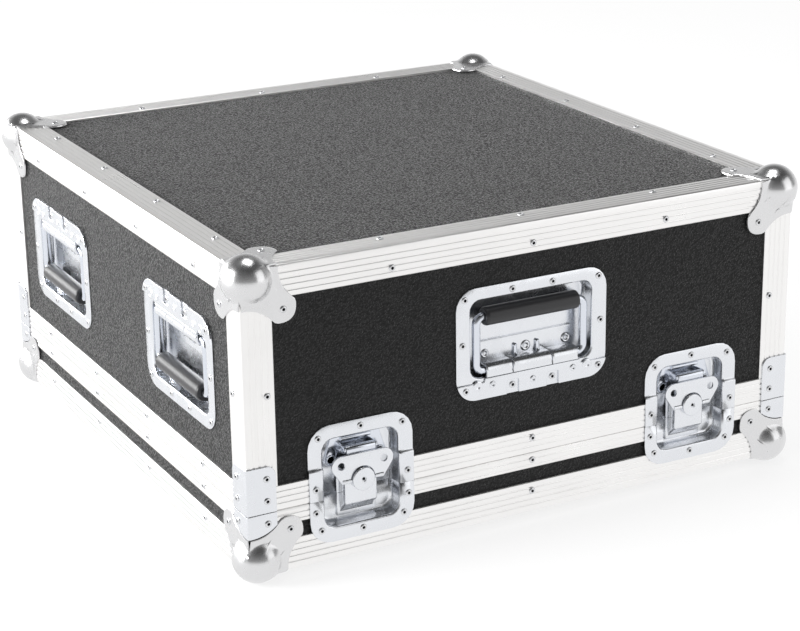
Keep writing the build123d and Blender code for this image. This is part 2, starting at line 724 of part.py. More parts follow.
def strap():
    """Formed strap: a leaf on the recess's floor, a roll over the pivot and a leaf on the flange."""
    inner = ROD_RADIUS + ROD_PLAY
    outer = inner + STRAP_SHEET
    front = PIVOT_DEPTH + outer
    leaf = -DISH_DEPTH + STRAP_SHEET
    foot = -HANDLE_TALL / 2
    with BuildPart() as piece:
        with BuildSketch(Plane.YZ):
            with BuildLine():
                Polyline((STRAP_LEAF_TOP, PIVOT_DEPTH + inner), (STRAP_LEAF_TOP, front),
                         *round_pivot(outer), (PIVOT_UP + outer, leaf), (STRAP_TOP, leaf),
                         (STRAP_TOP, -DISH_DEPTH), (PIVOT_UP + inner, -DISH_DEPTH),
                         *reversed(round_pivot(inner)), close=True)
            make_face()
        extrude(amount=STRAP_HALF, both=True)
        with BuildSketch(Plane.XY.offset(front)):
            RectangleRounded(HANDLE_WIDTH, HANDLE_TALL, HANDLE_CORNER)
            with Locations((0, STRAP_LEAF_TOP)):
                Rectangle(HANDLE_WIDTH, HANDLE_TALL, align=(Align.CENTER, Align.MIN),
                          mode=Mode.SUBTRACT)
            with Locations((-STRAP_NOTCH_ACROSS, foot), (STRAP_NOTCH_ACROSS, foot)):
                Rectangle(STRAP_NOTCH_WIDTH, STRAP_NOTCH_TALL, align=(Align.CENTER, Align.MIN),
                          mode=Mode.SUBTRACT)
        extrude(amount=-STRAP_SHEET)
        with BuildSketch(Plane.XY.offset(SLOT_FRONT)):
            with Locations((-SPRING_ACROSS, PIVOT_UP + inner), (SPRING_ACROSS, PIVOT_UP + inner)):
                Rectangle(SLOT_WIDTH, 2 * STRAP_SHEET, align=(Align.CENTER, Align.MIN))
        extrude(amount=leaf - SLOT_FRONT, mode=Mode.SUBTRACT)
    return piece.part


def bail_points():
    """Middle line of the bail: from stub to stub, with each bend stepped by a few chords."""
    points = [(-STUB_END, PIVOT_UP)]
    corners = ((-1, PIVOT_UP + BAIL_BEND), (-1, GRIP_UP - BAIL_BEND),
               (1, GRIP_UP - BAIL_BEND), (1, PIVOT_UP + BAIL_BEND))
    for turn, (side, centre_up) in enumerate(corners):
        centre_x = side * (BAIL_HALF - BAIL_BEND)
        for n in range(BEND_CHORDS + 1):
            angle = radians(-90 - 90 * turn - 90 * n / BEND_CHORDS)
            points.append((centre_x + BAIL_BEND * cos(angle), centre_up + BAIL_BEND * sin(angle)))
    return points + [(STUB_END, PIVOT_UP)]


def bail():
    """Bent rod: two stubs in the strap's roll, two legs, and the bar through the grip."""
    with BuildPart() as rod:
        with BuildLine(Plane.XY.offset(PIVOT_DEPTH)) as path:
            Polyline(*bail_points())
        with BuildSketch(Plane(origin=path.line @ 0, z_dir=path.line % 0)):
            RegularPolygon(ROD_RADIUS, ROUND_SIDES)
        sweep(transition=Transition.RIGHT)
    return rod.part


def grip():
    """Rubber sleeve on the bail's bar."""
    with BuildPart() as sleeve:
        with BuildSketch(Plane.YZ):
            with Locations((GRIP_UP, PIVOT_DEPTH)):
                Circle(GRIP_RADIUS)
        extrude(amount=GRIP_LENGTH / 2, both=True)
        with BuildSketch(Plane.YZ):
            with Locations((GRIP_UP, PIVOT_DEPTH)):
                RegularPolygon(ROD_RADIUS, ROUND_SIDES, major_radius=False)
        extrude(amount=GRIP_LENGTH / 2, both=True, mode=Mode.SUBTRACT)
    return sleeve.part


def handle_spring():
    """Torsion spring: its closed coil round the pivot and two legs that press on the strap."""
    coil = ROD_RADIUS - SPRING_PLAY
    foot = -DISH_DEPTH + STRAP_SHEET + SPRING_WIRE + SPRING_PLAY
    leg_start = (PIVOT_UP + coil / 2, PIVOT_DEPTH - coil / 2)
    with BuildPart() as spring:
        with BuildSketch(Plane.YZ):
            with Locations((PIVOT_UP, PIVOT_DEPTH)):
                Circle(coil)
        extrude(amount=SPRING_HALF, both=True)
        for x in (-SPRING_ACROSS, SPRING_ACROSS):
            with BuildLine() as leg:
                Polyline((x, *leg_start), (x, LEG_BEND_UP, foot), (x, LEG_END_UP, foot))
            with BuildSketch(Plane(origin=leg.line @ 0, z_dir=leg.line % 0)):
                RegularPolygon(SPRING_WIRE, ROUND_SIDES // 2)
            sweep(path=leg.line, transition=Transition.RIGHT)
    return spring.part


# Every piece is written under its own name
os.makedirs("parts", exist_ok=True)

WALL_FOOT = FLOOR_Z + PANEL
WALL_TOP = ROOF_Z - PANEL
TRAY_WALL_TOP = SPLIT_Z - EDGE_SHEET
HOOD_WALL_FOOT = SPLIT_Z + HOOD_WEB
FOAM_FOOT = HOOD_WALL_FOOT + RIM_INNER_LEG + FOAM_GAP

save(flat_board(FLOOR_Z, PANEL, 0), "tray_floor_panel")
save(flat_board(WALL_FOOT, FLOOR_FOAM, PANEL), "tray_foam")
save(flat_board(WALL_TOP, PANEL, 0), "hood_top_panel")
save(flat_board(WALL_TOP - ROOF_FOAM, ROOF_FOAM, PANEL + WALL_FOAM + FOAM_GAP), "hood_top_foam")
for side in OUTWARD:
    save(wall(side, WALL_FOOT, TRAY_WALL_TOP, 0, PANEL, HOLE_PLAY), f"tray_{side}_panel")
    save(wall(side, HOOD_WALL_FOOT, WALL_TOP, 0, PANEL, HOLE_PLAY), f"hood_{side}_panel")
with BuildPart() as hood_wall_foam:
    for side in OUTWARD:
        add(wall(side, FOAM_FOOT, WALL_TOP, PANEL, WALL_FOAM, 2 * HOLE_PLAY, FOAM_GAP))
save(hood_wall_foam.part, "hood_wall_foam")

angle, tray_rim, hood_rim = angle_profile(), tray_rim_profile(), hood_rim_profile()
for name, sides in (("wide", WIDE), ("deep", DEEP)):
    save(bar_pair(angle, sides, BASE_Z), f"tray_bottom_edges_{name}")
    save(bar_pair(angle, sides, TOP_Z, up=-1), f"hood_top_edges_{name}")
    save(bar_pair(tray_rim, sides, SPLIT_Z, notched=sides == WIDE), f"tray_rims_{name}")
    save(bar_pair(hood_rim, sides, SPLIT_Z, notched=sides == WIDE), f"hood_rims_{name}")
save(corner_post(), "hood_corner_posts")
save(ball_corners(BASE_Z, 1), "tray_ball_corners")
save(ball_corners(TOP_Z, -1), "hood_ball_corners")
save(corner_braces(tray_brace_outline(), BASE_Z), "tray_corner_braces")
save(corner_braces(hood_brace_outline(), SPLIT_Z + HALF_GAP), "hood_corner_braces")

whole_dish = latch_dish()
save(latch_dish_halves(whole_dish, Keep.BOTTOM, -1), "latch_lower_dishes")
save(latch_dish_halves(whole_dish, Keep.TOP, 1), "latch_upper_dishes")
save(at_latches(latch_body()), "latch_bodies")
save(at_latches(keeper()), "latch_keepers")
spindle_piece, wing_piece, claw_piece = spindle(), wing(), claw()
for number, plane in enumerate(LATCH_PLANES, start=1):
    save(plane.location * spindle_piece, f"latch_{number}_spindle")
    save(plane.location * wing_piece, f"latch_{number}_wing")
    save(plane.location * claw_piece, f"latch_{number}_claw")

save(at_handles(handle_dish()), "handle_dishes")
save(at_handles(strap()), "handle_straps")
save(at_handles(handle_spring()), "handle_springs")
bail_piece, grip_piece = bail(), grip()
for number, plane in enumerate(HANDLE_PLANES, start=1):
    save(plane.location * bail_piece, f"handle_{number}_bail")
    save(plane.location * grip_piece, f"handle_{number}_grip")
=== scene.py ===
# %% [markdown]
# # A transport case for a mixing desk
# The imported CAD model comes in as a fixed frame: its nodes say where every piece sits and which
# body carries it. Each later step then gives a piece its real finish or builds a finer mesh over
# it. Lengths are written in millimetres, because that is how a case maker would measure them.

# %% Load the frame
from math import atan2, cos, pi, radians, sin, sqrt, tan

import bmesh
import bpy
from mathutils import Matrix, Vector, noise


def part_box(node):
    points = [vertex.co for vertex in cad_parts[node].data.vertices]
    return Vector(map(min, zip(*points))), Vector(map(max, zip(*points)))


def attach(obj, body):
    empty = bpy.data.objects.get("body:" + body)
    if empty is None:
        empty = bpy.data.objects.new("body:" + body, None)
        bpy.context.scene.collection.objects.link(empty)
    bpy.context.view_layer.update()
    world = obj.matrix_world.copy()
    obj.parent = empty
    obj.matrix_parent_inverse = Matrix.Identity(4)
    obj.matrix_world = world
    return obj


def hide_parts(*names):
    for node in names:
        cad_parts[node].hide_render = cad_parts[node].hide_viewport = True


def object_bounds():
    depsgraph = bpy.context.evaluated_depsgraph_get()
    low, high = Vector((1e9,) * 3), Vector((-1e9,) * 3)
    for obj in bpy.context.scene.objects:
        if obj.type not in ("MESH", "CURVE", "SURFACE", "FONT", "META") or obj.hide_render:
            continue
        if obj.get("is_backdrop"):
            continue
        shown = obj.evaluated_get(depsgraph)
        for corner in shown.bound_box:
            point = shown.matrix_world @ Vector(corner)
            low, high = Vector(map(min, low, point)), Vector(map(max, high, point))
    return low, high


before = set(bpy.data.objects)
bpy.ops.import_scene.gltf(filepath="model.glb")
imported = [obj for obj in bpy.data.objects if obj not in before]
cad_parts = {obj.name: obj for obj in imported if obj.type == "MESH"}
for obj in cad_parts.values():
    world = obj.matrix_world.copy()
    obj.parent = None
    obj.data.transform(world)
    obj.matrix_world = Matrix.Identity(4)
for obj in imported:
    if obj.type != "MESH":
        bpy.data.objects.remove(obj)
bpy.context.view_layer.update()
MM = 0.001

# %% [markdown]
# ## Where things are
# The case is a box of panels between aluminium angles, and every fitting sits on one of its faces.
# A face frame is a matrix whose x runs to the right, y up and z outward for someone who looks at
# that face. A piece is then drawn once, flat in front of us, and set on each face that has it.

# %% Sizes of the case and the frames of its faces
BASE_Z, SPLIT_Z, TOP_Z = 10.0, 69.5, 295.0
HALF_WIDTH, HALF_DEPTH = 290.0, 302.0
EDGE_SHEET = 2.0
LATCH_ALONG, LATCH_Z = 178, 83.3
FRONT_HANDLE_Z, SIDE_HANDLE_ALONG, SIDE_HANDLE_Z = 187.0, 156, 176.5
OUTWARD = {"front": (0, -1), "back": (0, 1), "left": (-1, 0), "right": (1, 0)}


def matrix_of(x_dir, z_dir, origin):
    """Matrix with the given x and z axes and origin."""
    x_dir, z_dir = Vector(x_dir), Vector(z_dir)
    y_dir = z_dir.cross(x_dir)
    columns = Matrix((x_dir, y_dir, z_dir)).transposed().to_4x4()
    columns.translation = Vector(origin)
    return columns


def face_frame(side, along, height, sunk=0.0, turned=False):
    """Frame on one outer face of the case; turned hangs it the other way up."""
    out_x, out_y = OUTWARD[side]
    right = Vector((-out_y, out_x, 0))
    origin = (out_x * (HALF_WIDTH - sunk) + right.x * along,
              out_y * (HALF_DEPTH - sunk) + right.y * along, height)
    return matrix_of(-right if turned else right, (out_x, out_y, 0), origin)


def corner_frames(height, up=1):
    """Frames at the four upright corners: x and y run along the faces, z up or down, into the case."""
    frames = []
    for sx, sy in ((-1, -1), (1, -1), (1, 1), (-1, 1)):
        x_dir = (-sx, 0, 0) if sx * sy * up > 0 else (0, -sy, 0)
        frames.append(matrix_of(x_dir, (0, 0, up), (sx * HALF_WIDTH, sy * HALF_DEPTH, height)))
    return frames


LATCHES = [face_frame(side, along, LATCH_Z)
           for side in ("front", "back") for along in (-LATCH_ALONG, LATCH_ALONG)]
HANDLES = [face_frame("front", 0, FRONT_HANDLE_Z, EDGE_SHEET)] + [
    face_frame(side, along, SIDE_HANDLE_Z, EDGE_SHEET, turned=True)
    for side in ("left", "right") for along in (-SIDE_HANDLE_ALONG, SIDE_HANDLE_ALONG)]
HERE = Matrix.Identity(4)
for number, place in enumerate(LATCHES, 1):
    print("latch", number, "at", [round(v) for v in place.translation])

# %% [markdown]
# ## Colours and nodes
# Colours are picked from a screen, so they are sRGB hex values, while shaders count light in
# linear steps. One function turns the first into the second. A second function adds any node,
# sets it and wires its inputs, so a finish below reads as a short list of nodes.

# %% Colour and node helpers
def linear(hex_colour):
    """Linear RGBA of an sRGB hex colour."""
    channels = [int(hex_colour[i:i + 2], 16) / 255 for i in (1, 3, 5)]
    return tuple(c / 12.92 if c <= 0.04045 else ((c + 0.055) / 1.055) ** 2.4
                 for c in channels) + (1.0,)


def add_node(tree, kind, settings=None, links=None):
    """Add a node. Settings name its properties or inputs, and links give the outputs that feed it."""
    node = tree.nodes.new(kind)
    for name, value in (settings or {}).items():
        if isinstance(name, int) or name in node.inputs:
            node.inputs[name].default_value = value
        else:
            setattr(node, name, value)
    for name, source in (links or {}).items():
        tree.links.new(source, node.inputs[name])
    return node


def start_material(name, settings):
    """Material with one Principled shader that has these settings."""
    material = bpy.data.materials.new(name)
    material.use_nodes = True
    shader = material.node_tree.nodes["Principled BSDF"]
    for socket, value in settings.items():
        shader.inputs[socket].default_value = value
    return material, material.node_tree, shader


def per_metre(feature_mm):
    """Scale of a pattern whose features are this wide."""
    return 1 / (feature_mm * MM)


print("mid grey #808080 is", round(linear("#808080")[0], 3), "in linear light")

# %% [markdown]
# ## Plastic-coated plywood
# The panels are birch plywood with a black plastic film, and the film was pressed against a
# leather-grained plate while hot. That leaves pebbles between winding creases. The pebbles' crowns
# are rubbed smoother than the creases, so they take the light: head on the panel looks black, and
# at a low angle it turns grey and the grain stands out. The creases are also painted darker than
# the crowns, which is painted shade in the creases. The grain is cells with wandering borders,
# drawn a little coarser than on the real film.

# %% Panel finish
GRAIN_MM, CREASE_MM, WANDER_MM = 2.0, 1.0, 3.6
WANDER_REACH = 4.0


def grained_film():
    """Black film with a pressed leather grain on plywood, with painted shade in its creases."""
    material, tree, shader = start_material("plywood_black_film_leather_grain", {
        "Base Color": linear("#141415"), "Roughness": 0.45, "IOR": 1.46,
        "Specular IOR Level": 0.4, "Sheen Weight": 0.25, "Sheen Roughness": 0.35})
    place = add_node(tree, "ShaderNodeTexCoord")
    wander = add_node(tree, "ShaderNodeTexNoise", {"Scale": per_metre(WANDER_MM), "Detail": 2.0},
                      {"Vector": place.outputs["Object"]})
    pull = add_node(tree, "ShaderNodeVectorMath", {"operation": "SCALE", "Scale": WANDER_REACH * MM},
                    {0: wander.outputs["Color"]})
    pulled = add_node(tree, "ShaderNodeVectorMath", {"operation": "ADD"},
                      {0: place.outputs["Object"], 1: pull.outputs[0]})
    pebbles = add_node(tree, "ShaderNodeTexVoronoi",
                       {"feature": "SMOOTH_F1", "Scale": per_metre(GRAIN_MM), "Smoothness": 0.3},
                       {"Vector": pulled.outputs[0]})
    creases = add_node(tree, "ShaderNodeTexNoise", {"Scale": per_metre(CREASE_MM), "Detail": 2.0},
                       {"Vector": pulled.outputs[0]})
    height = add_node(tree, "ShaderNodeMath", {"operation": "MULTIPLY_ADD", 1: -1.3},
                      {0: pebbles.outputs["Distance"], 2: creases.outputs["Fac"]})
    bump = add_node(tree, "ShaderNodeBump", {"Strength": 0.9, "Distance": 0.0007},
                    {"Height": height.outputs[0]})
    crown = add_node(tree, "ShaderNodeMapRange",
                     {"From Min": -0.4, "From Max": 0.45, "To Min": 0.0, "To Max": 1.0},
                     {"Value": height.outputs[0]})
    rough = add_node(tree, "ShaderNodeMapRange",
                     {"From Min": 0.0, "From Max": 1.0, "To Min": 0.6, "To Max": 0.38},
                     {"Value": crown.outputs[0]})
    sheen = add_node(tree, "ShaderNodeMath", {"operation": "MULTIPLY", 1: 0.58},
                     {0: crown.outputs[0]})
    # Painted shade: the base colour runs from near black in the creases to dark grey on the crowns.
    shade = add_node(tree, "ShaderNodeMix", {"data_type": "RGBA", 6: linear("#050505"),
                                             7: linear("#171718")}, {0: crown.outputs[0]})
    tree.links.new(bump.outputs[0], shader.inputs["Normal"])
    tree.links.new(rough.outputs[0], shader.inputs["Roughness"])
    tree.links.new(sheen.outputs[0], shader.inputs["Sheen Weight"])
    tree.links.new(shade.outputs[2], shader.inputs["Base Color"])
    return material


FILM = grained_film()
for name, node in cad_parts.items():
    if name.endswith("panel"):
        node.data.materials.clear()
        node.data.materials.append(FILM)
print("grain cells per metre:", round(per_metre(GRAIN_MM)))

# %% [markdown]
# ## Satin anodised aluminium
# The edge angles and rims are extruded, so fine die lines run along their length, and anodising
# leaves them pale and satin. The lines blur a reflection across the bar more than along it. They
# are noise stretched by fifty along the bar; real die lines are finer than the render can show, so
# they are drawn about three times as coarse.

# %% Extrusion finish, one for each direction of bar
DIE_LINE_MM, DRAWN_COARSER, CLOUD_MM = 0.35, 3, 45.0


def anodised_aluminium(axis):
    """Anodised extrusion whose die lines run along one axis."""
    material, tree, shader = start_material(f"aluminium_extruded_anodised_{axis}", {
        "Base Color": linear("#f6f5f4"), "Metallic": 1.0, "Roughness": 0.36})
    stretch = [1.0, 1.0, 1.0]
    stretch["xyz".index(axis)] = 0.02
    place = add_node(tree, "ShaderNodeTexCoord")
    along = add_node(tree, "ShaderNodeMapping", {"Scale": stretch},
                     {"Vector": place.outputs["Object"]})
    lines = add_node(tree, "ShaderNodeTexNoise", {"Scale": per_metre(DIE_LINE_MM * DRAWN_COARSER),
                                                "Detail": 4.0},
                     {"Vector": along.outputs[0]})
    cloud = add_node(tree, "ShaderNodeTexNoise", {"Scale": per_metre(CLOUD_MM), "Detail": 2.0},
                     {"Vector": place.outputs["Object"]})
    both = add_node(tree, "ShaderNodeMath", {"operation": "MULTIPLY"},
                    {0: lines.outputs["Fac"], 1: cloud.outputs["Fac"]})
    rough = add_node(tree, "ShaderNodeMapRange",
                     {"From Min": 0.1, "From Max": 0.45, "To Min": 0.26, "To Max": 0.42},
                     {"Value": both.outputs[0]})
    bump = add_node(tree, "ShaderNodeBump", {"Strength": 0.5, "Distance": 0.00006},
                    {"Height": lines.outputs["Fac"]})
    tree.links.new(rough.outputs[0], shader.inputs["Roughness"])
    tree.links.new(bump.outputs[0], shader.inputs["Normal"])
    return material


ALUMINIUM = {axis: anodised_aluminium(axis) for axis in "xyz"}
print("aluminium finishes:", sorted(m.name for m in ALUMINIUM.values()))

# %% [markdown]
# ## Zinc-plated steel
# Dishes, braces, latches and ball corners are pressed from steel sheet and bright zinc plated. The
# plating is smoother than brushed metal and a little blue, with faint clouds where the current
# was uneven, and the press leaves soft low waves. Rivets are softer aluminium. The steel stub
# inside each one is drawn near black, and that colour is painted shade in the hole.

# %% Plated finishes
PLATING_CLOUD_MM = 14.0


def zinc_plated(name, colour, smooth, dull, wave_mm):
    """Bright zinc plating, from its smoothest to its dullest roughness, over sheet with low waves."""
    material, tree, shader = start_material(name, {
        "Base Color": linear(colour), "Metallic": 1.0, "Roughness": (smooth + dull) / 2})
    place = add_node(tree, "ShaderNodeTexCoord")
    cloud = add_node(tree, "ShaderNodeTexNoise", {"Scale": per_metre(PLATING_CLOUD_MM), "Detail": 4.0},
                     {"Vector": place.outputs["Object"]})
    rough = add_node(tree, "ShaderNodeMapRange",
                     {"From Min": 0.3, "From Max": 0.7, "To Min": smooth, "To Max": dull},
                     {"Value": cloud.outputs["Fac"]})
    wave = add_node(tree, "ShaderNodeTexNoise", {"Scale": per_metre(wave_mm), "Detail": 1.0},
                    {"Vector": place.outputs["Object"]})
    bump = add_node(tree, "ShaderNodeBump", {"Strength": 0.25, "Distance": 0.0003},
                    {"Height": wave.outputs["Fac"]})
    tree.links.new(rough.outputs[0], shader.inputs["Roughness"])
    tree.links.new(bump.outputs[0], shader.inputs["Normal"])
    return material


PRESSED = zinc_plated("steel_pressed_zinc_plated", "#e6e8ec", 0.2, 0.32, 9.0)
BRIGHT = zinc_plated("steel_formed_bright_zinc", "#dde1e9", 0.12, 0.22, 7.0)
BALL = zinc_plated("steel_drawn_ball_zinc_plated", "#dededf", 0.22, 0.3, 12.0)
RIVET = zinc_plated("aluminium_pop_rivet", "#dcdddf", 0.22, 0.36, 3.0)
# Painted shade: near black for the rivets' stubs and hole walls and for the dimple in each spindle
# head.
PIT_SHADE = zinc_plated("steel_dark_painted_shade_in_hollows", "#16161a", 0.5, 0.7, 2.0)
print("plated finishes:", PRESSED.name, BRIGHT.name, BALL.name, RIVET.name, PIT_SHADE.name)

# %% [markdown]
# ## Rubber and foam
# The grips are black rubber sleeves: matt, with a broad soft sheen along the top and a faint
# moulded grain. The padding is closed-cell foam cut from a block, so its faces show tiny cut
# cells. Both are non-metals, and their detail is bump at the size of the grain or of the cells;
# the foam's cell hollows are also painted darker than their rims, as painted shade.

# %% Soft finishes
RUBBER_GRAIN_MM, FOAM_CELL_MM = 0.9, 1.2


def moulded_rubber():
    """Black rubber sleeve with a faint grain."""
    material, tree, shader = start_material("rubber_moulded_black", {
        "Base Color": linear("#212123"), "Roughness": 0.4, "IOR": 1.52})
    place = add_node(tree, "ShaderNodeTexCoord")
    grain = add_node(tree, "ShaderNodeTexNoise", {"Scale": per_metre(RUBBER_GRAIN_MM), "Detail": 3.0},
                     {"Vector": place.outputs["Object"]})
    rough = add_node(tree, "ShaderNodeMapRange",
                     {"From Min": 0.3, "From Max": 0.7, "To Min": 0.28, "To Max": 0.42},
                     {"Value": grain.outputs["Fac"]})
    bump = add_node(tree, "ShaderNodeBump", {"Strength": 0.4, "Distance": 0.0002},
                    {"Height": grain.outputs["Fac"]})
    tree.links.new(rough.outputs[0], shader.inputs["Roughness"])
    tree.links.new(bump.outputs[0], shader.inputs["Normal"])
    return material


def cut_foam():
    """Charcoal closed-cell foam with cut cells on its faces, their hollows painted darker as shade."""
    material, tree, shader = start_material("polyethylene_foam_cut_charcoal", {
        "Base Color": linear("#2b2c2e"), "Roughness": 0.92, "IOR": 1.45})
    place = add_node(tree, "ShaderNodeTexCoord")
    cells = add_node(tree, "ShaderNodeTexVoronoi", {"Scale": per_metre(FOAM_CELL_MM)},
                     {"Vector": place.outputs["Object"]})
    depth = add_node(tree, "ShaderNodeMapRange",
                     {"From Min": 0.0, "From Max": 0.6, "To Min": 0.0, "To Max": 1.0},
                     {"Value": cells.outputs["Distance"]})
    # Painted shade: the colour is darkest in the middle of each cell, where the bump is lowest.
    shade = add_node(tree, "ShaderNodeMix", {"data_type": "RGBA", 6: linear("#1b1c1d"),
                                             7: linear("#36373a")}, {0: depth.outputs[0]})
    bump = add_node(tree, "ShaderNodeBump", {"Strength": 0.6, "Distance": 0.0004},
                    {"Height": depth.outputs[0]})
    tree.links.new(shade.outputs[2], shader.inputs["Base Color"])
    tree.links.new(bump.outputs[0], shader.inputs["Normal"])
    return material


RUBBER, FOAM = moulded_rubber(), cut_foam()
print("soft finishes:", RUBBER.name, FOAM.name)

# %% [markdown]
# ## Shapes
# A shape here is a list of points and a list of faces, in millimetres. It is drawn once and
# then copied through the frames above. Lofts join rings of points, and a plate is a filled curve
# with a rounded edge, because cut or pressed sheet never has a knife edge: the small round takes
# the thin bright line that tells the eye it is metal.

# %% Shape helpers
def merged(*shapes):
    """One shape of several."""
    points, faces = [], []
    for shape_points, shape_faces in shapes:
        start = len(points)
        points += [Vector(p) for p in shape_points]
        faces += [[start + i for i in face] for face in shape_faces]
    return points, faces


def moved(shape, matrix):
    """The shape carried through a matrix."""
    return [matrix @ Vector(p) for p in shape[0]], [list(face) for face in shape[1]]


def loft(rings, closed=True, caps=True):
    """Skin over rings of equal length; caps close the first and the last ring."""
    count = len(rings[0])
    points = [Vector(p) for ring in rings for p in ring]
    faces = []
    for n in range(len(rings) - 1):
        for i in range(count if closed else count - 1):
            j = (i + 1) % count
            faces.append([n * count + i, n * count + j, (n + 1) * count + j, (n + 1) * count + i])
    if caps:
        faces.append(list(reversed(range(count))))
        faces.append([(len(rings) - 1) * count + i for i in range(count)])
    return points, faces


def lathe(profile, steps=28):
    """Solid turned about z from (radius, height) pairs that run from the bottom to the top."""
    rings = [[(r * cos(2 * pi * i / steps), r * sin(2 * pi * i / steps), z) for i in range(steps)]
             for r, z in profile]
    return loft(rings)


def rounded(corners, steps=5):
    """Closed outline whose corners (x, y, radius) are arcs."""
    outline = []
    for n, (x, y, radius) in enumerate(corners):
        here = Vector((x, y))
        before = (Vector(corners[n - 1][:2]) - here).normalized()
        after = (Vector(corners[(n + 1) % len(corners)][:2]) - here).normalized()
        half = before.angle(after) / 2
        if radius <= 0 or half > radians(89):
            outline.append((x, y))
            continue
        middle = here + (before + after).normalized() * (radius / sin(half))
        start = here + before * (radius / tan(half)) - middle
        sweep = pi - 2 * half
        sign = 1 if before.x * after.y - before.y * after.x < 0 else -1
        first = atan2(start.y, start.x)
        for k in range(steps + 1):
            angle = first + sign * sweep * k / steps
            outline.append((middle.x + radius * cos(angle), middle.y + radius * sin(angle)))
    return outline


def box_outline(left, low, right, high, radius):
    """Rounded rectangle as an outline."""
    return rounded([(left, low, radius), (right, low, radius), (right, high, radius),
                    (left, high, radius)])


def circle(radius, x=0.0, y=0.0, steps=24):
    """Circle as an outline."""
    return [(x + radius * cos(2 * pi * i / steps), y + radius * sin(2 * pi * i / steps))
            for i in range(steps)]


def plate(loops, thickness, low=0.0, edge=0.3):
    """Flat plate with rounded edges: the first loop is its outline and the others are holes."""
    curve = bpy.data.curves.new("outline", "CURVE")
    curve.dimensions, curve.fill_mode = "2D", "BOTH"
    curve.extrude, curve.bevel_depth, curve.bevel_resolution = thickness / 2 - edge, edge, 2
    curve.offset = -edge
    for loop in loops:
        spline = curve.splines.new("POLY")
        spline.points.add(len(loop) - 1)
        for point, (x, y) in zip(spline.points, loop):
            point.co = (x, y, 0, 1)
        spline.use_cyclic_u = True
    holder = bpy.data.objects.new("outline", curve)
    bpy.context.scene.collection.objects.link(holder)
    mesh = bpy.data.meshes.new_from_object(holder.evaluated_get(bpy.context.evaluated_depsgraph_get()))
    points = [v.co + Vector((0, 0, low + thickness / 2)) for v in mesh.vertices]
    faces = [list(p.vertices) for p in mesh.polygons]
    bpy.data.objects.remove(holder)
    bpy.data.curves.remove(curve)
    bpy.data.meshes.remove(mesh)
    return points, faces


def with_cuts(shape, axis, positions):
    """The shape with edges added across an axis, so that it can bend there."""
    work = bmesh.new()
    made = [work.verts.new(p) for p in shape[0]]
    for face in shape[1]:
        if len(set(face)) > 2:
            work.faces.new([made[i] for i in face])
    bmesh.ops.remove_doubles(work, verts=work.verts, dist=0.001)
    for position in positions:
        at, normal = Vector((0, 0, 0)), Vector((0, 0, 0))
        at[axis], normal[axis] = position, 1.0
        bmesh.ops.bisect_plane(work, geom=work.verts[:] + work.edges[:] + work.faces[:],
                               plane_co=at, plane_no=normal)
    work.verts.index_update()
    result = [v.co.copy() for v in work.verts], [[v.index for v in f.verts] for f in work.faces]
    work.free()
    return result


def kept_side(shape, axis, position, side):
    """What lies above (side 1) or below (side -1) a position on an axis."""
    points, faces = with_cuts(shape, axis, [position])
    keep = [side * (p[axis] - position) > -0.002 for p in points]
    return points, [f for f in faces if all(keep[i] for i in f)]


SOFTEST_CREASE = radians(32)


def piece(name, shape, material, body, replaces=(), places=(HERE,), sheet=0.0, closed=True):
    """Object made of one shape at one or more places, riding on a body and standing for nodes."""
    points, faces = merged(*[moved(shape, place) for place in places])
    mesh = bpy.data.meshes.new(name)
    work = bmesh.new()
    made = [work.verts.new(p * MM) for p in points]
    for face in faces:
        if len(set(face)) > 2:
            work.faces.new([made[i] for i in face])
    bmesh.ops.remove_doubles(work, verts=work.verts, dist=0.002 * MM)
    loose = [v for v in work.verts if not v.link_faces]
    bmesh.ops.delete(work, geom=loose, context="VERTS")
    if closed:
        bmesh.ops.recalc_face_normals(work, faces=work.faces)
    work.to_mesh(mesh)
    work.free()
    mesh.shade_smooth()
    mesh.set_sharp_from_angle(angle=SOFTEST_CREASE)
    mesh.materials.append(material)
    made_object = bpy.data.objects.new(name, mesh)
    bpy.context.scene.collection.objects.link(made_object)
    if sheet:
        solid = made_object.modifiers.new("sheet", "SOLIDIFY")
        solid.thickness, solid.offset, solid.use_even_offset = sheet * MM, -1.0, True
    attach(made_object, body)
    if replaces:
        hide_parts(*replaces)
    return made_object


print("one plate test:", len(plate([circle(5)], 2.0)[0]), "points")

# %% [markdown]
# ## Edge angles, posts and rims
# The bars are one extrusion each, a bent strip with shallow grooves, and their ends are mitred
# like a picture frame. The section is drawn as an outline and lofted between two ends whose
# points are pulled in by their own depth, so the mitre comes by itself. The two rims meet at the
# joint with a tongue and a groove, which keeps the hood in place.

# %% Sections of the bars
EDGE_LEG, TRAY_RIM_LEG, HOOD_RIM_LEG = 30.0, 15.2, 23.4
NOSE = 0.6
GROOVE_PITCH, GROOVE_WIDTH, GROOVE_DEPTH = 5.6, 1.9, 0.42


def grooved(start, end, face, count, pitch=GROOVE_PITCH, direction=1):
    """Points along one face of a section, from start to end, with shallow grooves in it."""
    run = []
    middle = (start + end) / 2
    centres = [middle + (n - (count - 1) / 2) * pitch * direction for n in range(count)]
    for centre in centres:
        for step, depth in ((-0.5, 0), (-0.28, 0.8), (0, 1), (0.28, 0.8), (0.5, 0)):
            run.append((centre + direction * step * GROOVE_WIDTH, face + depth * GROOVE_DEPTH))
    return run


def round_corner(radius, steps=4):
    """Outer corner of a section at the origin, from the x leg to the y leg."""
    return [(radius - radius * sin(pi / 2 * k / steps), radius - radius * cos(pi / 2 * k / steps))
            for k in range(steps + 1)]


def angle_section():
    """Section of an edge angle: outer corner at the origin, legs along x and y."""
    leg, sheet = EDGE_LEG, EDGE_SHEET
    along_x = grooved(1.5, leg, 0.0, 4, direction=-1)
    along_y = [(y, x) for x, y in grooved(1.5, leg, 0.0, 4)]
    end_x = [(leg, sheet), (leg, NOSE), (leg - NOSE, 0)]
    end_y = [(0, leg - NOSE), (NOSE, leg), (sheet, leg)]
    return [(sheet, sheet)] + end_x + along_x + round_corner(1.8) + along_y + end_y


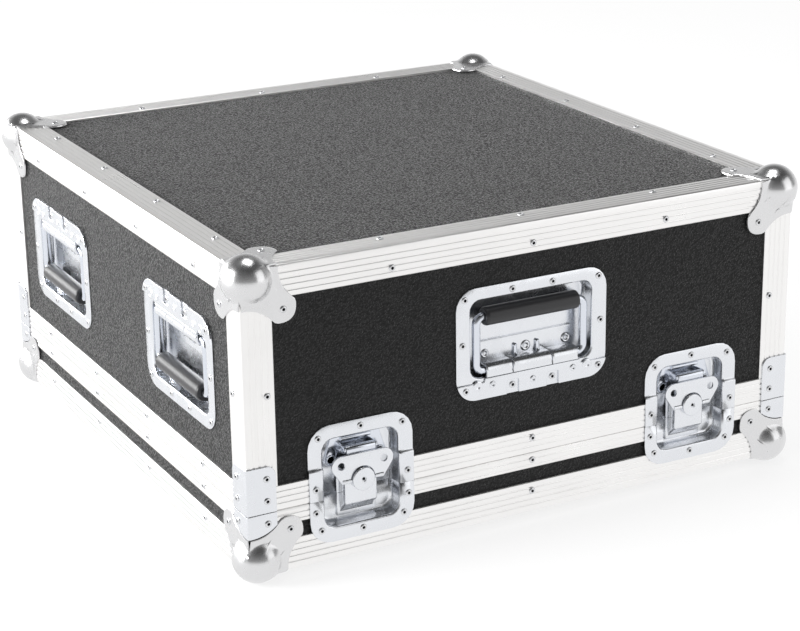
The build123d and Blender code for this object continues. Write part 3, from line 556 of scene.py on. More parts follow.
def rim_section(leg, up, groove_count):
    """Section of a rim channel; the joint is at y 0 and the wall runs up or down from it."""
    inner, depth, lip = 11.2, 12.7, 11.0
    outside = [(0.0, NOSE * 2), (NOSE * 0.6, NOSE * 0.6), (NOSE * 2, 0.0)]
    run = [(y, x) for x, y in grooved(1.5, leg, 0.0, groove_count, direction=-1)]
    if up < 0:
        joint, web = [(4.8, 0), (5.3, -5.0), (7.7, -5.0), (8.2, 0)], 2.0
    else:
        joint, web = [(4.4, 0), (4.4, 5.4), (8.6, 5.4), (8.6, 0)], 7.4
    inside = [(depth, 0), (depth, web + lip), (inner, web + lip), (inner, web),
              (EDGE_SHEET, web), (EDGE_SHEET, leg), (NOSE, leg), (0, leg - NOSE)]
    outline = outside + joint + inside + run
    return [(x, up * y) for x, y in outline]


def bar(section, length, left=None, right=None):
    """Bar along x with mitred ends; left and right cut it square instead. Section is (in, up)."""
    def ring(side, cut):
        return [(cut if cut is not None else side * (length / 2 - depth), depth, up)
                for depth, up in section]
    return loft([ring(-1, left), ring(1, right)])


def side_frame(side, height, up=1):
    """Frame along one border: x along it, y into the case and z up or down."""
    out_x, out_y = OUTWARD[side]
    inward = Vector((-out_x, -out_y, 0))
    z_dir = Vector((0, 0, up))
    return matrix_of(inward.cross(z_dir), z_dir, (out_x * HALF_WIDTH, out_y * HALF_DEPTH, height))


WIDE, DEEP = ("front", "back"), ("left", "right")
LENGTHS = {"wide": 2 * HALF_WIDTH, "deep": 2 * HALF_DEPTH}
angle = angle_section()
for kind, sides, axis in (("wide", WIDE, "x"), ("deep", DEEP, "y")):
    whole = bar(angle, LENGTHS[kind])
    piece(f"bottom_edge_angles_{kind}", whole, ALUMINIUM[axis], "tray",
          [f"tray_bottom_edges_{kind}"], [side_frame(s, BASE_Z) for s in sides])
    piece(f"top_edge_angles_{kind}", whole, ALUMINIUM[axis], "hood",
          [f"hood_top_edges_{kind}"], [side_frame(s, TOP_Z, -1) for s in sides])
print("angle section has", len(angle), "points")

# %% Rims, opened where the latch dishes pass
DISH_CUT = 39.6
near_dish, far_dish = LATCH_ALONG - DISH_CUT, LATCH_ALONG + DISH_CUT
spans = [(None, -far_dish), (-near_dish, near_dish), (far_dish, None)]
for body, leg, up, groove_count in (("tray", TRAY_RIM_LEG, -1, 2), ("hood", HOOD_RIM_LEG, 1, 3)):
    section = rim_section(leg, up, groove_count)
    wide = merged(*[bar(section, LENGTHS["wide"], left, right) for left, right in spans])
    piece(f"{body}_rim_channels_wide", wide, ALUMINIUM["x"], body,
          [f"{body}_rims_wide"], [side_frame(s, SPLIT_Z) for s in WIDE])
    piece(f"{body}_rim_channels_deep", bar(section, LENGTHS["deep"]), ALUMINIUM["y"], body,
          [f"{body}_rims_deep"], [side_frame(s, SPLIT_Z) for s in DEEP])
post_low, post_high = SPLIT_Z + HOOD_RIM_LEG, TOP_Z - EDGE_LEG
post = loft([[(x, y, z) for x, y in angle] for z in (0.0, post_high - post_low)])
piece("corner_posts", post, ALUMINIUM["z"], "hood", ["hood_corner_posts"],
      corner_frames(post_low))
print("posts are", post_high - post_low, "mm long")

# %% [markdown]
# ## Ball corners
# A ball corner is one pressing: three lobed plates folded round the corner of the case and a ball
# drawn out over its point. Three flat plates and a sphere would leave hard seams where the press
# leaves soft ones. So each face is a height field: the height of the plate, with its folds
# rounded, is blended with the height of the sphere, and three of these faces share their borders.
# Next to the corner the points are put exactly on the ball. Further out the lobes part along each
# fold, where the press has cut a narrow slit.

# %% Height of the pressing over one face
CORNER_SHEET, FOLD = 1.5, 2.6
BALL_RADIUS, BALL_INSET = 22.5, 12.5
PRESS_BLEND = 3.2
LOBE_REACH = 36.5
NOTCH_START, NOTCH_HALF, NOTCH_FADE = 22.5, 2.0, 20
APEX_FADE, APEX_REACH = 9, 11
LOBE_DROP, LOBE_FLARE = 0.35, 1.006


def soft_max(a, b, blend):
    """The larger of two heights, with a round where they meet."""
    return max(a, b) + max(blend - abs(a - b), 0.0) ** 2 / (4 * blend)


def fold_height(x):
    """Height of the plate over its face at a distance x from the edge of the case."""
    past = FOLD - CORNER_SHEET - x
    if past <= 0:
        return CORNER_SHEET
    return CORNER_SHEET - FOLD + sqrt(max(FOLD ** 2 - past ** 2, 0.0))


def pressed_height(x, y):
    """Height of the pressing over a point of its face."""
    sheet = fold_height(x) + fold_height(y) - CORNER_SHEET
    room = BALL_RADIUS ** 2 - (x - BALL_INSET) ** 2 - (y - BALL_INSET) ** 2
    return soft_max(sheet, sqrt(max(room, 0.0)) - BALL_INSET, PRESS_BLEND)


def edge_height(t):
    """Height at the fold itself, where two faces of the pressing meet."""
    sheet = CORNER_SHEET - FOLD * (1 - sqrt(0.5))
    room = (BALL_RADIUS ** 2 - (t - BALL_INSET) ** 2) / 2
    return soft_max(sheet, sqrt(max(room, 0.0)) - BALL_INSET, PRESS_BLEND)


def lobe_radius(turn):
    """Distance from the corner to the rim of a lobe, in a direction between the two folds."""
    reach, far, near, crown, sag = LOBE_REACH, 52.0, 32.5, 48.5, 4.5
    turn = min(turn, pi / 2 - turn)
    steps = 40
    side = Vector((near, -(far - reach))).normalized()
    rim = []
    for k in range(steps + 1):
        t = k / steps
        flat = Vector((reach, 0)).lerp(Vector((far, near)), t)
        rim.append(flat - side * sag * 4 * t * (1 - t))
    for k in range(1, steps + 1):
        t = k / steps / 2
        flat = Vector((far, near)).lerp(Vector((near, far)), t)
        rise = crown * sqrt(2) - (far + near) / sqrt(2)
        rim.append(flat + Vector((1, 1)).normalized() * rise * 4 * t * (1 - t))
    best = min(range(len(rim) - 1),
               key=lambda k: abs(atan2(rim[k].y, rim[k].x) - turn))
    low, high = rim[max(best - 1, 0)], rim[min(best + 1, len(rim) - 1)]
    a, b = atan2(low.y, low.x), atan2(high.y, high.x)
    share = 0.0 if b == a else max(0.0, min(1.0, (turn - a) / (b - a)))
    return low.lerp(high, share).length


def notch(along):
    """Half width of the slit between two lobes, at a distance along their fold."""
    return max(0.0, along - NOTCH_START) * NOTCH_HALF / (LOBE_REACH - NOTCH_START)


def fade(distance, reach):
    """Share that falls from 1 to 0 over a reach."""
    return max(0.0, 1 - distance / reach)


def pressed_point(s, t, on_fold):
    """Point of the pressing at (s, t) on the face; on_fold names the fold it lies on, s or t."""
    corner = edge_height(0.0)
    fade_s, fade_t = fade(s, APEX_FADE) ** 2, fade(t, APEX_FADE) ** 2
    x = s - fade_s * edge_height(t - fade_t * corner) + notch(t) * fade(s, NOTCH_FADE)
    y = t - fade_t * edge_height(s - fade_s * corner) + notch(s) * fade(t, NOTCH_FADE)
    height = pressed_height(x, y)
    if on_fold and Vector((s, t)).length < NOTCH_START:
        height = -x if on_fold == "t" else -y
    return Vector((x, y, -height))


def pressed_face(turns=48, steps=44):
    """One face of the pressing as a fan from the corner of the case, with its rims turned down."""
    rings = []
    ball_centre = Vector((BALL_INSET, BALL_INSET, BALL_INSET))
    for i in range(turns + 1):
        turn = pi / 2 * i / turns
        on_fold = {0: "s", turns: "t"}.get(i)
        ring = []
        for k in range(steps + 1):
            r = lobe_radius(turn) * k / steps
            point = pressed_point(r * cos(turn), r * sin(turn), on_fold)
            if r < APEX_REACH:
                ray = point - ball_centre if k else Vector((-1, -1, -1))
                point = ball_centre + ray.normalized() * BALL_RADIUS
            ring.append(point)
        ring[-1].z += LOBE_DROP
        ring.append(Vector((ring[-1].x * LOBE_FLARE, ring[-1].y * LOBE_FLARE, 0.0)))
        rings.append(ring)
    down = [[p if k * LOBE_REACH / steps < NOTCH_START else Vector((p.x, p.y, 0.0))
             for k, p in enumerate(side)] for side in (rings[0], rings[-1])]
    return loft([down[0], *rings, down[1]], closed=False, caps=False)


one_face = pressed_face()
three_faces = merged(*[([(p[a], p[b], p[c]) for p in one_face[0]], one_face[1])
                       for a, b, c in ((0, 1, 2), (2, 0, 1), (1, 2, 0))])
piece("ball_corners_tray", three_faces, BALL, "tray", ["tray_ball_corners"],
      corner_frames(BASE_Z))
piece("ball_corners_hood", three_faces, BALL, "hood", ["hood_ball_corners"],
      corner_frames(TOP_Z, -1))
print("ball stands proud by", round(-min(p[2] for p in one_face[0]), 2), "mm")

# %% [markdown]
# ## Corner braces
# At the joint a folded plate holds each mitre. It is cut flat and then bent, so it is made that way
# here too: a flat plate with rounded edges gets a few extra edges near its middle and is wrapped
# round the corner. The tray's brace is hollowed where the ball corner's lobes come up to it.

# %% Braces
BRACE_SHEET, BRACE_BEND, BRACE_LEG, HEAD_RADIUS = 1.5, 2.6, 27.5, 9
ARC = BRACE_BEND * pi / 4


def folded(shape):
    """Flat plate wrapped round the upright corner: x is the way along it, from leg to leg."""
    middle = BRACE_BEND - BRACE_SHEET
    points = []
    for p in shape[0]:
        if abs(p.x) <= ARC:
            turn = p.x / BRACE_BEND - 3 * pi / 4
            radius = BRACE_BEND + p.z - BRACE_SHEET
            points.append((middle + radius * cos(turn), middle + radius * sin(turn), p.y))
        elif p.x > 0:
            points.append((middle + p.x - ARC, -p.z, p.y))
        else:
            points.append((-p.z, middle - p.x - ARC, p.y))
    return points, shape[1]


def brace(half_outline):
    """Brace from the outline of its right leg, given from its foot to its head as (x, y)."""
    shift = ARC - (BRACE_BEND - BRACE_SHEET)
    right = [(x + shift, y) for x, y in half_outline]
    flat = plate([right + [(-x, y) for x, y in reversed(right)]], BRACE_SHEET, edge=0.35)
    return folded(with_cuts(flat, 0, [ARC * k / 4 for k in range(-4, 5)]))


hood_leg = [(BRACE_LEG, 0.0)] + [
    (BRACE_LEG - HEAD_RADIUS * (1 - cos(pi / 2 * k / 6)), 34.8 + HEAD_RADIUS * sin(pi / 2 * k / 6))
    for k in range(7)]
piece("braces_hood", brace(hood_leg), PRESSED, "hood", ["hood_corner_braces"],
      corner_frames(SPLIT_Z + 0.3))
turns = [pi / 2 * (1 - k / 48) for k in range(49)]
lobe = [((lobe_radius(a) + 0.9) * cos(a), (lobe_radius(a) + 0.9) * sin(a)) for a in turns]
lobe = [(x, y) for x, y in lobe if x <= BRACE_LEG]
tray_leg = lobe + [(BRACE_LEG, lobe[-1][1] + 0.5), (BRACE_LEG, 59.2)]
piece("braces_tray", brace(tray_leg), PRESSED, "tray", ["tray_corner_braces"],
      corner_frames(BASE_Z))
print("tray brace leg has", len(tray_leg), "outline points")

# %% [markdown]
# ## Pop rivets
# Everything is held by blind rivets: a low dome about 6.5 mm wide whose middle stays open where the
# mandrel broke off. That dark pit, with the bright ring round it, is what makes a rivet read as a
# rivet, so the dome is turned with the hole in it and the stub of the mandrel lies deep inside. The
# stub's near-black colour, which also lines the hole's wall, is painted shade in the hole.
# Rows are listed by face.

# %% Rivets of the frame
LOBE_RIVET, BRACE_RIVET, POST_RIVET, DISH_CLEAR = 40, 18.5, 22.5, 55


def pop_rivet():
    """Blind rivet: a low dome with the open hole of its broken mandrel."""
    return lathe([(3.3, -0.2), (3.3, 0.2), (3.15, 0.5), (2.8, 0.8), (2.3, 1.05), (1.8, 1.15),
                  (1.5, 1.1), (1.35, 0.9), (1.3, 0.3), (1.3, -0.1)], 20)


def mandrel_stub_and_hole_shade():
    """What is left of the mandrel: a rough cup that lines the hole, near black as painted shade."""
    return lathe([(1.28, -0.05), (1.28, 0.75), (1.15, 0.75), (1.0, 0.15), (0.5, 0.3), (0.1, 0.35)],
                 14)


def at(frame_matrix, spots, lift=0.0):
    """Places on one face."""
    return [frame_matrix @ Matrix.Translation((x, y, lift)) for x, y in spots]


def rivets(name, body, places):
    """Rivets at these places, with the dark stubs inside them, whose near-black colour is painted
    shade.
    """
    piece(f"rivets_{name}", pop_rivet(), RIVET, body, places=places)
    piece(f"rivet_stubs_and_hole_shade_{name}", mandrel_stub_and_hole_shade(), PIT_SHADE, body, places=places)


tray_rivets, hood_rivets = [], []
for side in OUTWARD:
    half = HALF_WIDTH if side in WIDE else HALF_DEPTH
    row = [-144, 0, 144] if side in WIDE else [-204, -68, 68, 204]
    clear = [x for x in row if side in DEEP or abs(abs(x) - LATCH_ALONG) > DISH_CLEAR]
    base = face_frame(side, 0, BASE_Z)
    top = face_frame(side, 0, TOP_Z)
    tray_rivets += at(base, [(x, up) for x in clear for up in (21.0, 52.5)])
    hood_rivets += at(base, [(x, 74.5) for x in clear]) + at(top, [(x, -21.0) for x in row])
    for end in (-1, 1):
        hood_rivets += at(base, [(end * (half - POST_RIVET), 168.0)])
        hood_rivets += at(base, [(end * (half - BRACE_RIVET), up) for up in (71.0, 92.0)], BRACE_SHEET)
        tray_rivets += at(base, [(end * (half - BRACE_RIVET), 49.5)], BRACE_SHEET)
        tray_rivets += at(base, [(end * (half - LOBE_RIVET), LOBE_RIVET)], CORNER_SHEET)
        hood_rivets += at(top, [(end * (half - LOBE_RIVET), -LOBE_RIVET)], CORNER_SHEET)
roof = matrix_of((1, 0, 0), (0, 0, 1), (0, 0, TOP_Z))
underside = matrix_of((1, 0, 0), (0, 0, -1), (0, 0, BASE_Z))
rim_spots = [(x, y) for y in (-280, 280) for x in (-144, 0, 144)]
rim_spots += [(x, y) for x in (-268, 268) for y in (-204, -68, 68, 204)]
ball_spots = [(sx * (HALF_WIDTH - LOBE_RIVET), sy * (HALF_DEPTH - LOBE_RIVET))
              for sx in (-1, 1) for sy in (-1, 1)]
hood_rivets += at(roof, rim_spots) + at(roof, ball_spots, CORNER_SHEET)
tray_rivets += at(underside, rim_spots) + at(underside, ball_spots, CORNER_SHEET)
rivets("tray_frame", "tray", tray_rivets)
rivets("hood_frame", "hood", hood_rivets)
print("frame rivets:", len(tray_rivets), "on the tray and", len(hood_rivets), "on the hood")

# %% [markdown]
# ## Dishes
# A dish is pressed from one sheet: a flange, a rounded lip, a steep wall and a rounded foot that
# turns into the floor. It is a loft of rounded rectangles that shrink as they go down, and a
# solidify modifier gives it the sheet's thickness. The latch dish also steps back above the rim and
# is parted at the joint; its loft is cut and bent after it is made.

# %% Pressed dishes
DISH_SHEET, DISH_DEPTH = 1.2, 14.0
LIP, WALL_FOOT, ARC_STEPS = 2.6, 4.0, 6
JOGGLE_START, JOGGLE_END = 14.4, 17.6
LATCH_OPENING = (-37.5, -41.75, 37.5, 41.75)


def ring_at(left, low, right, high, radius, z):
    """One level of a pressing, as a ring of points."""
    return [(x, y, z) for x, y in box_outline(left, low, right, high, radius)]


def pressing(flange, flange_radius, opening, opening_radius):
    """Dish in sheet, seen from the front; flange and opening are (left, low, right, high)."""
    rings = []
    for inset, z in ((0.0, 0.0), (0.0, 0.8), (0.12, 1.08), (0.4, DISH_SHEET)):
        l, b, r, t = flange
        rings.append(ring_at(l + inset, b + inset, r - inset, t - inset, flange_radius - inset, z))
    l, b, r, t = opening
    for k in range(ARC_STEPS + 1):
        turn = pi / 2 * k / ARC_STEPS
        grow = LIP * (1 - sin(turn))
        rings.append(ring_at(l - grow, b - grow, r + grow, t + grow, opening_radius + grow,
                             DISH_SHEET - LIP * (1 - cos(turn))))
    for k in range(ARC_STEPS + 1):
        turn = pi / 2 * k / ARC_STEPS
        shrink = 0.5 + WALL_FOOT * (1 - cos(turn))
        rings.append(ring_at(l + shrink, b + shrink, r - shrink, t - shrink,
                             max(opening_radius - shrink, 1.0),
                             -DISH_DEPTH + WALL_FOOT * (1 - sin(turn))))
    shape = loft(rings, caps=False)
    last = (len(rings) - 1) * len(rings[0])
    shape[1].append([last + i for i in range(len(rings[0]))])
    return shape


def smooth_step(x, start, end):
    """Soft ramp from 0 to 1."""
    t = max(0.0, min(1.0, (x - start) / (end - start)))
    return t * t * (3 - 2 * t)


def stepped_back(shape):
    """Latch dish whose flange steps back to the panel above the rim."""
    points, faces = with_cuts(shape, 1, [14.0 + 0.5 * k for k in range(9)])
    bent = []
    for p in points:
        back = EDGE_SHEET * smooth_step(p.y, JOGGLE_START, JOGGLE_END) * smooth_step(p.z, -4.0, -1.0)
        bent.append(Vector((p.x, p.y, p.z - back)))
    return bent, faces


LATCH_SPLIT, HALF_GAP = -13.8, 0.15
dish = stepped_back(pressing((-52.5, -56, 52.5, 56), 22.0, LATCH_OPENING, 11.0))
upper = kept_side(dish, 1, LATCH_SPLIT + HALF_GAP, 1)
lower = kept_side(dish, 1, LATCH_SPLIT - HALF_GAP, -1)
piece("latch_dishes_hood", upper, PRESSED, "hood", ["latch_upper_dishes"], LATCHES,
      sheet=DISH_SHEET, closed=False)
piece("latch_dishes_tray", lower, PRESSED, "tray", ["latch_lower_dishes"], LATCHES,
      sheet=DISH_SHEET, closed=False)
grip_dish = pressing((-80, -53.5, 80, 53.5), 20.0, (-64.5, -33, 64.5, 41), 10.0)
piece("handle_dishes", grip_dish, PRESSED, "hood", ["handle_dishes"], HANDLES,
      sheet=DISH_SHEET, closed=False)
print("latch dish:", len(dish[0]), "points, handle dish:", len(grip_dish[0]))

# %% Rivets of the dishes
latch_top = [(-42, 45), (42, 45), (0, 49.8)]
latch_beside = [(-46, -2.3), (46, -2.3)]
latch_low = [(-46.5, -24.7), (46.5, -24.7), (-41.5, -42.7), (41.5, -42.7), (0, -48.4)]
hood_places, tray_places = [], []
for latch in LATCHES:
    hood_places += at(latch, latch_top, DISH_SHEET - EDGE_SHEET) + at(latch, latch_beside, DISH_SHEET)
    tray_places += at(latch, latch_low, DISH_SHEET)
rivets("latch_dishes_hood", "hood", hood_places)
rivets("latch_dishes_tray", "tray", tray_places)
handle_spots = [(s * x, y) for s in (-1, 1) for x, y in
                ((71, 44), (21.3, 47), (73.5, 1), (71, -43), (21.3, -45.4))]
STRAP_SHEET = 1.5
on_strap = [(x, y) for x, y in handle_spots if y < -40 and abs(x) > 30]
beside_strap = [spot for spot in handle_spots if spot not in on_strap]
handle_places = []
for handle in HANDLES:
    handle_places += at(handle, beside_strap, DISH_SHEET)
    handle_places += at(handle, on_strap, DISH_SHEET + STRAP_SHEET)
rivets("handle_dishes", "hood", handle_places)
print("rivets round one handle:", len(handle_spots))

# %% [markdown]
# ## Butterfly latch
# A base plate and a raised cover sit on the tray's half of the dish. The spindle turns in the
# cover, its eccentric pulls the claw down, and the claw's curled end holds a bar on the hood's
# half. The folding wing is the key. Side views are drawn as outlines and given a width, front views
# as plates; both keep small rounds on every edge, as the press leaves them.

# %% Side views given a width
SIDEWAYS = matrix_of((0, 1, 0), (1, 0, 0), (0, 0, 0))


def side_view(outline, half_width, edge=0.3, centre=0.0):
    """Solid whose side view is an outline of (up, outward) points."""
    flat = plate([outline], 2 * half_width, -half_width, edge)
    return moved(flat, Matrix.Translation((centre, 0, 0)) @ SIDEWAYS)


def arc(x, y, radius, first, last, steps=8):
    """Points on an arc, angles in degrees."""
    return [(x + radius * cos(radians(first + (last - first) * k / steps)),
             y + radius * sin(radians(first + (last - first) * k / steps))) for k in range(steps + 1)]


print("side view faces:", len(side_view([(0, 0), (4, 0), (4, 2), (0, 2)], 5.0)[1]))

# %% Latch body: base plate and cover
base = plate([box_outline(-19.5, -38.2, 19.5, -15.0, 1.5)], 2.0, -DISH_DEPTH)
seat = plate([box_outline(-19.5, -16.0, 19.5, 9.0, 1.0)], 1.6, -13.6)
COVER_Z, COVER_SHEET, COVER_SIDE, COVER_FOOT = -1.1, 1.4, 16.4, -12.0


def cover_ring(up, out):
    """Section of the cover at one height: a low arch over the base plate."""
    corner = min(2.4, out - COVER_FOOT)
    section = [(-COVER_SIDE, COVER_FOOT)]
    section += [(-COVER_SIDE + corner * (1 - cos(radians(a))), out - corner * (1 - sin(radians(a))))
                for a in range(0, 91, 15)]
    section += [(-x, z) for x, z in reversed(section)]
    return [(x, up, z) for x, z in section]


stations = [(-34.2, COVER_FOOT), (-33.2, -11.6), (-28.6, -6.8), (-25.4, -3.0), (-24.6, -2.1),
            (-23.4, -1.3), (-22.0, COVER_Z), (8.6, COVER_Z), (9.0, COVER_Z - 0.3)]
cover = loft([cover_ring(up, out) for up, out in stations], closed=False, caps=False)
dimple_profile = [(3.2, -0.6), (3.0, 0.05), (2.4, 0.3), (1.7, 0.25), (1.0, -0.2), (0.1, -0.3)]
foot_dimple = moved(lathe(dimple_profile, 20), Matrix.Translation((0, -27.5, -5.4))
                    @ Matrix.Rotation(radians(48), 4, "X"))
piece("latch_base_plates", merged(base, seat, foot_dimple), PRESSED, "tray", ["latch_bodies"],
      LATCHES)
piece("latch_covers", cover, PRESSED, "tray", (), LATCHES, sheet=COVER_SHEET, closed=False)
print("cover stations:", len(stations))

# %% Keeper: lugged plate, bar between two cheeks, and a bead
KEEPER_SHEET, BAR_UP, BAR_OUT = 1.6, 28.0, -3.6
LUG_ACROSS, LUG_UP, LUG_RADIUS, LUG_HOLE = 24.5, 17.3, 6.2, 3.2
keeper_outline = ([(-24.0, 39.2), (-23.4, 39.8), (23.4, 39.8), (24.0, 39.2)]
                  + arc(LUG_ACROSS, LUG_UP, LUG_RADIUS, 10, -180, 14) + [(18.3, 24.0), (-18.3, 24.0)]
                  + arc(-LUG_ACROSS, LUG_UP, LUG_RADIUS, 0, -190, 14))
lug_holes = [circle(LUG_HOLE, x, LUG_UP) for x in (-LUG_ACROSS, LUG_ACROSS)]
keeper_plate = plate([keeper_outline, *lug_holes], KEEPER_SHEET, -DISH_DEPTH)
lug_ring = lathe([(3.3, -0.2), (3.3, 0.7), (3.6, 1.1), (4.2, 1.1), (4.6, 0.7), (4.8, -0.2)], 24)
rings_of_lugs = [moved(lug_ring, Matrix.Translation((x, LUG_UP, KEEPER_SHEET - DISH_DEPTH)))
                 for x in (-LUG_ACROSS, LUG_ACROSS)]
CHEEK_RADIUS, CHEEK_FOOT = 3.4, -12.4
cheek_outline = ([(BAR_UP - CHEEK_RADIUS, CHEEK_FOOT)] + arc(BAR_UP, BAR_OUT, CHEEK_RADIUS, 180, 0, 12)
                 + [(BAR_UP + CHEEK_RADIUS, CHEEK_FOOT)])
cheeks = [side_view(cheek_outline, 0.8, 0.25, side * 15.6) for side in (-1, 1)]
bar_shape = moved(lathe([(1.8, -15.6), (1.8, 15.6)], 20),
                  Matrix.Translation((0, BAR_UP, BAR_OUT)) @ SIDEWAYS)
bead = side_view([(33.6, -12.6)] + arc(35.9, -12.0, 2.2, 180, 0, 12) + [(38.2, -12.6)], 15.0, 0.5)
piece("latch_keepers", merged(keeper_plate, bar_shape, bead, *rings_of_lugs, *cheeks), BRIGHT, "hood",
      ["latch_keepers"], LATCHES)
print("keeper outline:", len(keeper_outline), "points")

# %% Claw: plate with a window for the eccentric, cranked out to a curled hook
CLAW_Z, CLAW_HALF, CLAW_SHEET = -6.1, 14.4, 1.7
hook_in, hook_out = 2.2, 3.8
hook_back, hook_front = BAR_OUT + hook_in, BAR_OUT + hook_out
claw_front = CLAW_Z + CLAW_SHEET


def curl(radius, turns):
    """Points round the keeper's bar at these angles from straight outward."""
    return [(BAR_UP + radius * sin(radians(a)), BAR_OUT + radius * cos(radians(a))) for a in turns]


claw_side = ([(9.2, CLAW_Z), (17.8, CLAW_Z), (22.5, hook_back), (BAR_UP, hook_back)]
             + list(reversed(curl(hook_in, range(95, -1, -8)))) + curl(hook_out, [95])
             + list(reversed(curl(hook_out, range(0, 96, 8))))
             + [(22.0, hook_front), (17.2, claw_front), (9.2, claw_front)])
window = box_outline(-9.5, -9.75, 9.5, 4.75, 1.0)
claw_plate = plate([box_outline(-CLAW_HALF, -16, CLAW_HALF, 10, 1.0), window], CLAW_SHEET, CLAW_Z)
claw = merged(claw_plate, side_view(claw_side, CLAW_HALF, 0.25))
print("claw outline:", len(claw_side), "points")

# %% Spindle and wing
WING_Z, HEAD_Z = 1.8, 5.0
head = lathe([(4.0, -13.5), (4.0, -1.2), (10.4, -1.2), (11.0, -0.6), (11.0, HEAD_Z - 1.0),
              (10.85, HEAD_Z - 0.5), (10.5, HEAD_Z - 0.15), (9.9, HEAD_Z), (2.6, HEAD_Z),
              (2.3, HEAD_Z - 0.15), (2.0, HEAD_Z - 0.7), (1.4, HEAD_Z - 1.0), (0.6, HEAD_Z - 1.1)], 48)
cam = plate([circle(6.5, 0, -2.5, 36)], 2.1, CLAW_Z - 0.2, 0.2)
spindle = merged(head, cam)


def hull(points):
    """Outline of the smallest convex shape round some points."""
    points = sorted(set(points))
    chains = []
    for run in (points, list(reversed(points))):
        chain = []
        for p in run:
            while len(chain) > 1 and ((chain[-1][0] - chain[-2][0]) * (p[1] - chain[-2][1])
                                      <= (chain[-1][1] - chain[-2][1]) * (p[0] - chain[-2][0])):
                chain.pop()
            chain.append(p)
        chains += chain[:-1]
    return chains


EAR_ACROSS, EAR_UP, EAR_RADIUS, EAR_HOLE = 21.3, 15.5, 9.4, 3.5
WING_FOOT, WING_BORE = (20.4, -2.4), 12.0
around = hull(circle(EAR_RADIUS, -EAR_ACROSS, EAR_UP, 40) + circle(EAR_RADIUS, EAR_ACROSS, EAR_UP, 40)
              + [(-WING_FOOT[0], WING_FOOT[1]), WING_FOOT])
foot = around.index(WING_FOOT)
around = around[foot:] + around[:foot]
cutout = [(WING_BORE * cos(radians(a)), WING_BORE * sin(radians(a))) for a in range(190, -11, -8)]
ear_holes = [circle(EAR_HOLE, x, EAR_UP) for x in (-EAR_ACROSS, EAR_ACROSS)]
wing_plate = plate([around + cutout, *ear_holes], 2.0, WING_Z - 1.0, 0.35)
on_wing_axis = Matrix.Translation((0, 0, WING_Z))
eyes = [moved(lathe([(2.2, 12.2), (2.2, 20.4)], 20),
              on_wing_axis @ matrix_of((0, side, 0), (side, 0, 0), (0, 0, 0))) for side in (-1, 1)]
pin = moved(lathe([(1.5, -20.0), (1.5, 20.0)], 16), on_wing_axis @ SIDEWAYS)
wing = merged(wing_plate, pin, *eyes)
# Painted shade: a near-black disc at the bottom of the dimple in the spindle head.
dimple_shade = moved(lathe([(1.3, -0.9), (1.3, -0.75), (0.8, -0.7), (0.1, -0.7)], 16),
             Matrix.Translation((0, 0, HEAD_Z)))
for number, place in enumerate(LATCHES, 1):
    piece(f"butterfly_{number}_punch_dimple_shade", dimple_shade, PIT_SHADE, f"latch_{number}_spindle",
          places=[place])
    for name, shape, finish in (("spindle", spindle, PRESSED), ("wing", wing, PRESSED),
                                ("claw", claw, BRIGHT)):
        cad = f"latch_{number}_{name}"
        piece(f"butterfly_{number}_{name}", shape, finish, cad, [cad], [place])
print("wing outline:", len(around), "points")

# %% [markdown]
# ## Sprung handle
# The handle is a bent rod in a rubber sleeve. A formed strap riveted over the lower flange rolls
# round its stubs, and a spring inside the roll pulls the handle flat. The rod is a curve with real
# bends and a round section. The strap's roll is a loft of its side view, its two leaves are plates,
# and the spring's two legs come up behind the roll and press on the floor of the dish.

# %% Rods
def rod(path, radius, steps=16):
    """Round rod along a path of points."""
    rings = []
    path = [Vector(p) for p in path]
    up = None
    for n, p in enumerate(path):
        along = (path[min(n + 1, len(path) - 1)] - path[max(n - 1, 0)]).normalized()
        if up is None:
            up = along.orthogonal().normalized()
        up = (up - along * up.dot(along)).normalized()
        side = along.cross(up)
        rings.append([p + (up * cos(2 * pi * i / steps) + side * sin(2 * pi * i / steps)) * radius
                      for i in range(steps)])
    return loft(rings)


PIVOT_UP, PIVOT_OUT, GRIP_UP = -27.5, -3.2, 24.0
BAIL_HALF, BAIL_BEND = 57.0, 7.0
corner_path = [(-22.0, PIVOT_UP)]
corner_path += arc(-BAIL_HALF + BAIL_BEND, PIVOT_UP + BAIL_BEND, BAIL_BEND, 270, 180)
corner_path += arc(-BAIL_HALF + BAIL_BEND, GRIP_UP - BAIL_BEND, BAIL_BEND, 180, 90)
bail_path = corner_path + [(-x, y) for x, y in reversed(corner_path)]
bail = rod([(x, y, PIVOT_OUT) for x, y in bail_path], 4.0, 24)
sleeve_profile = [(4.05, -48.5), (4.6, -49.2), (7.2, -49.5), (8.2, -48.9), (8.75, -47.5),
                  (8.8, -46.0)]
sleeve_profile += [(r, -z) for r, z in reversed(sleeve_profile)]
sleeve = moved(lathe(sleeve_profile, 40), Matrix.Translation((0, GRIP_UP, PIVOT_OUT)) @ SIDEWAYS)
for number, place in enumerate(HANDLES, 1):
    body = f"handle_{number}"
    piece(f"bail_{number}", bail, BRIGHT, body, [f"{body}_bail"], [place])
    piece(f"grip_{number}", sleeve, RUBBER, body, [f"{body}_grip"], [place])
print("bail path:", len(bail_path), "points")

# %% Strap
ROLL_IN, ROLL_HALF, ROLL_BREAK, BREAK_GAP = 4.4, 49.0, 20.8, 0.6
LEAF_TOP, LEAF_SIDE_TOP, LEAF_FOOT, FLOOR_LEAF = -33.6, -37.5, -53.5, 2.7
roll_out = ROLL_IN + STRAP_SHEET


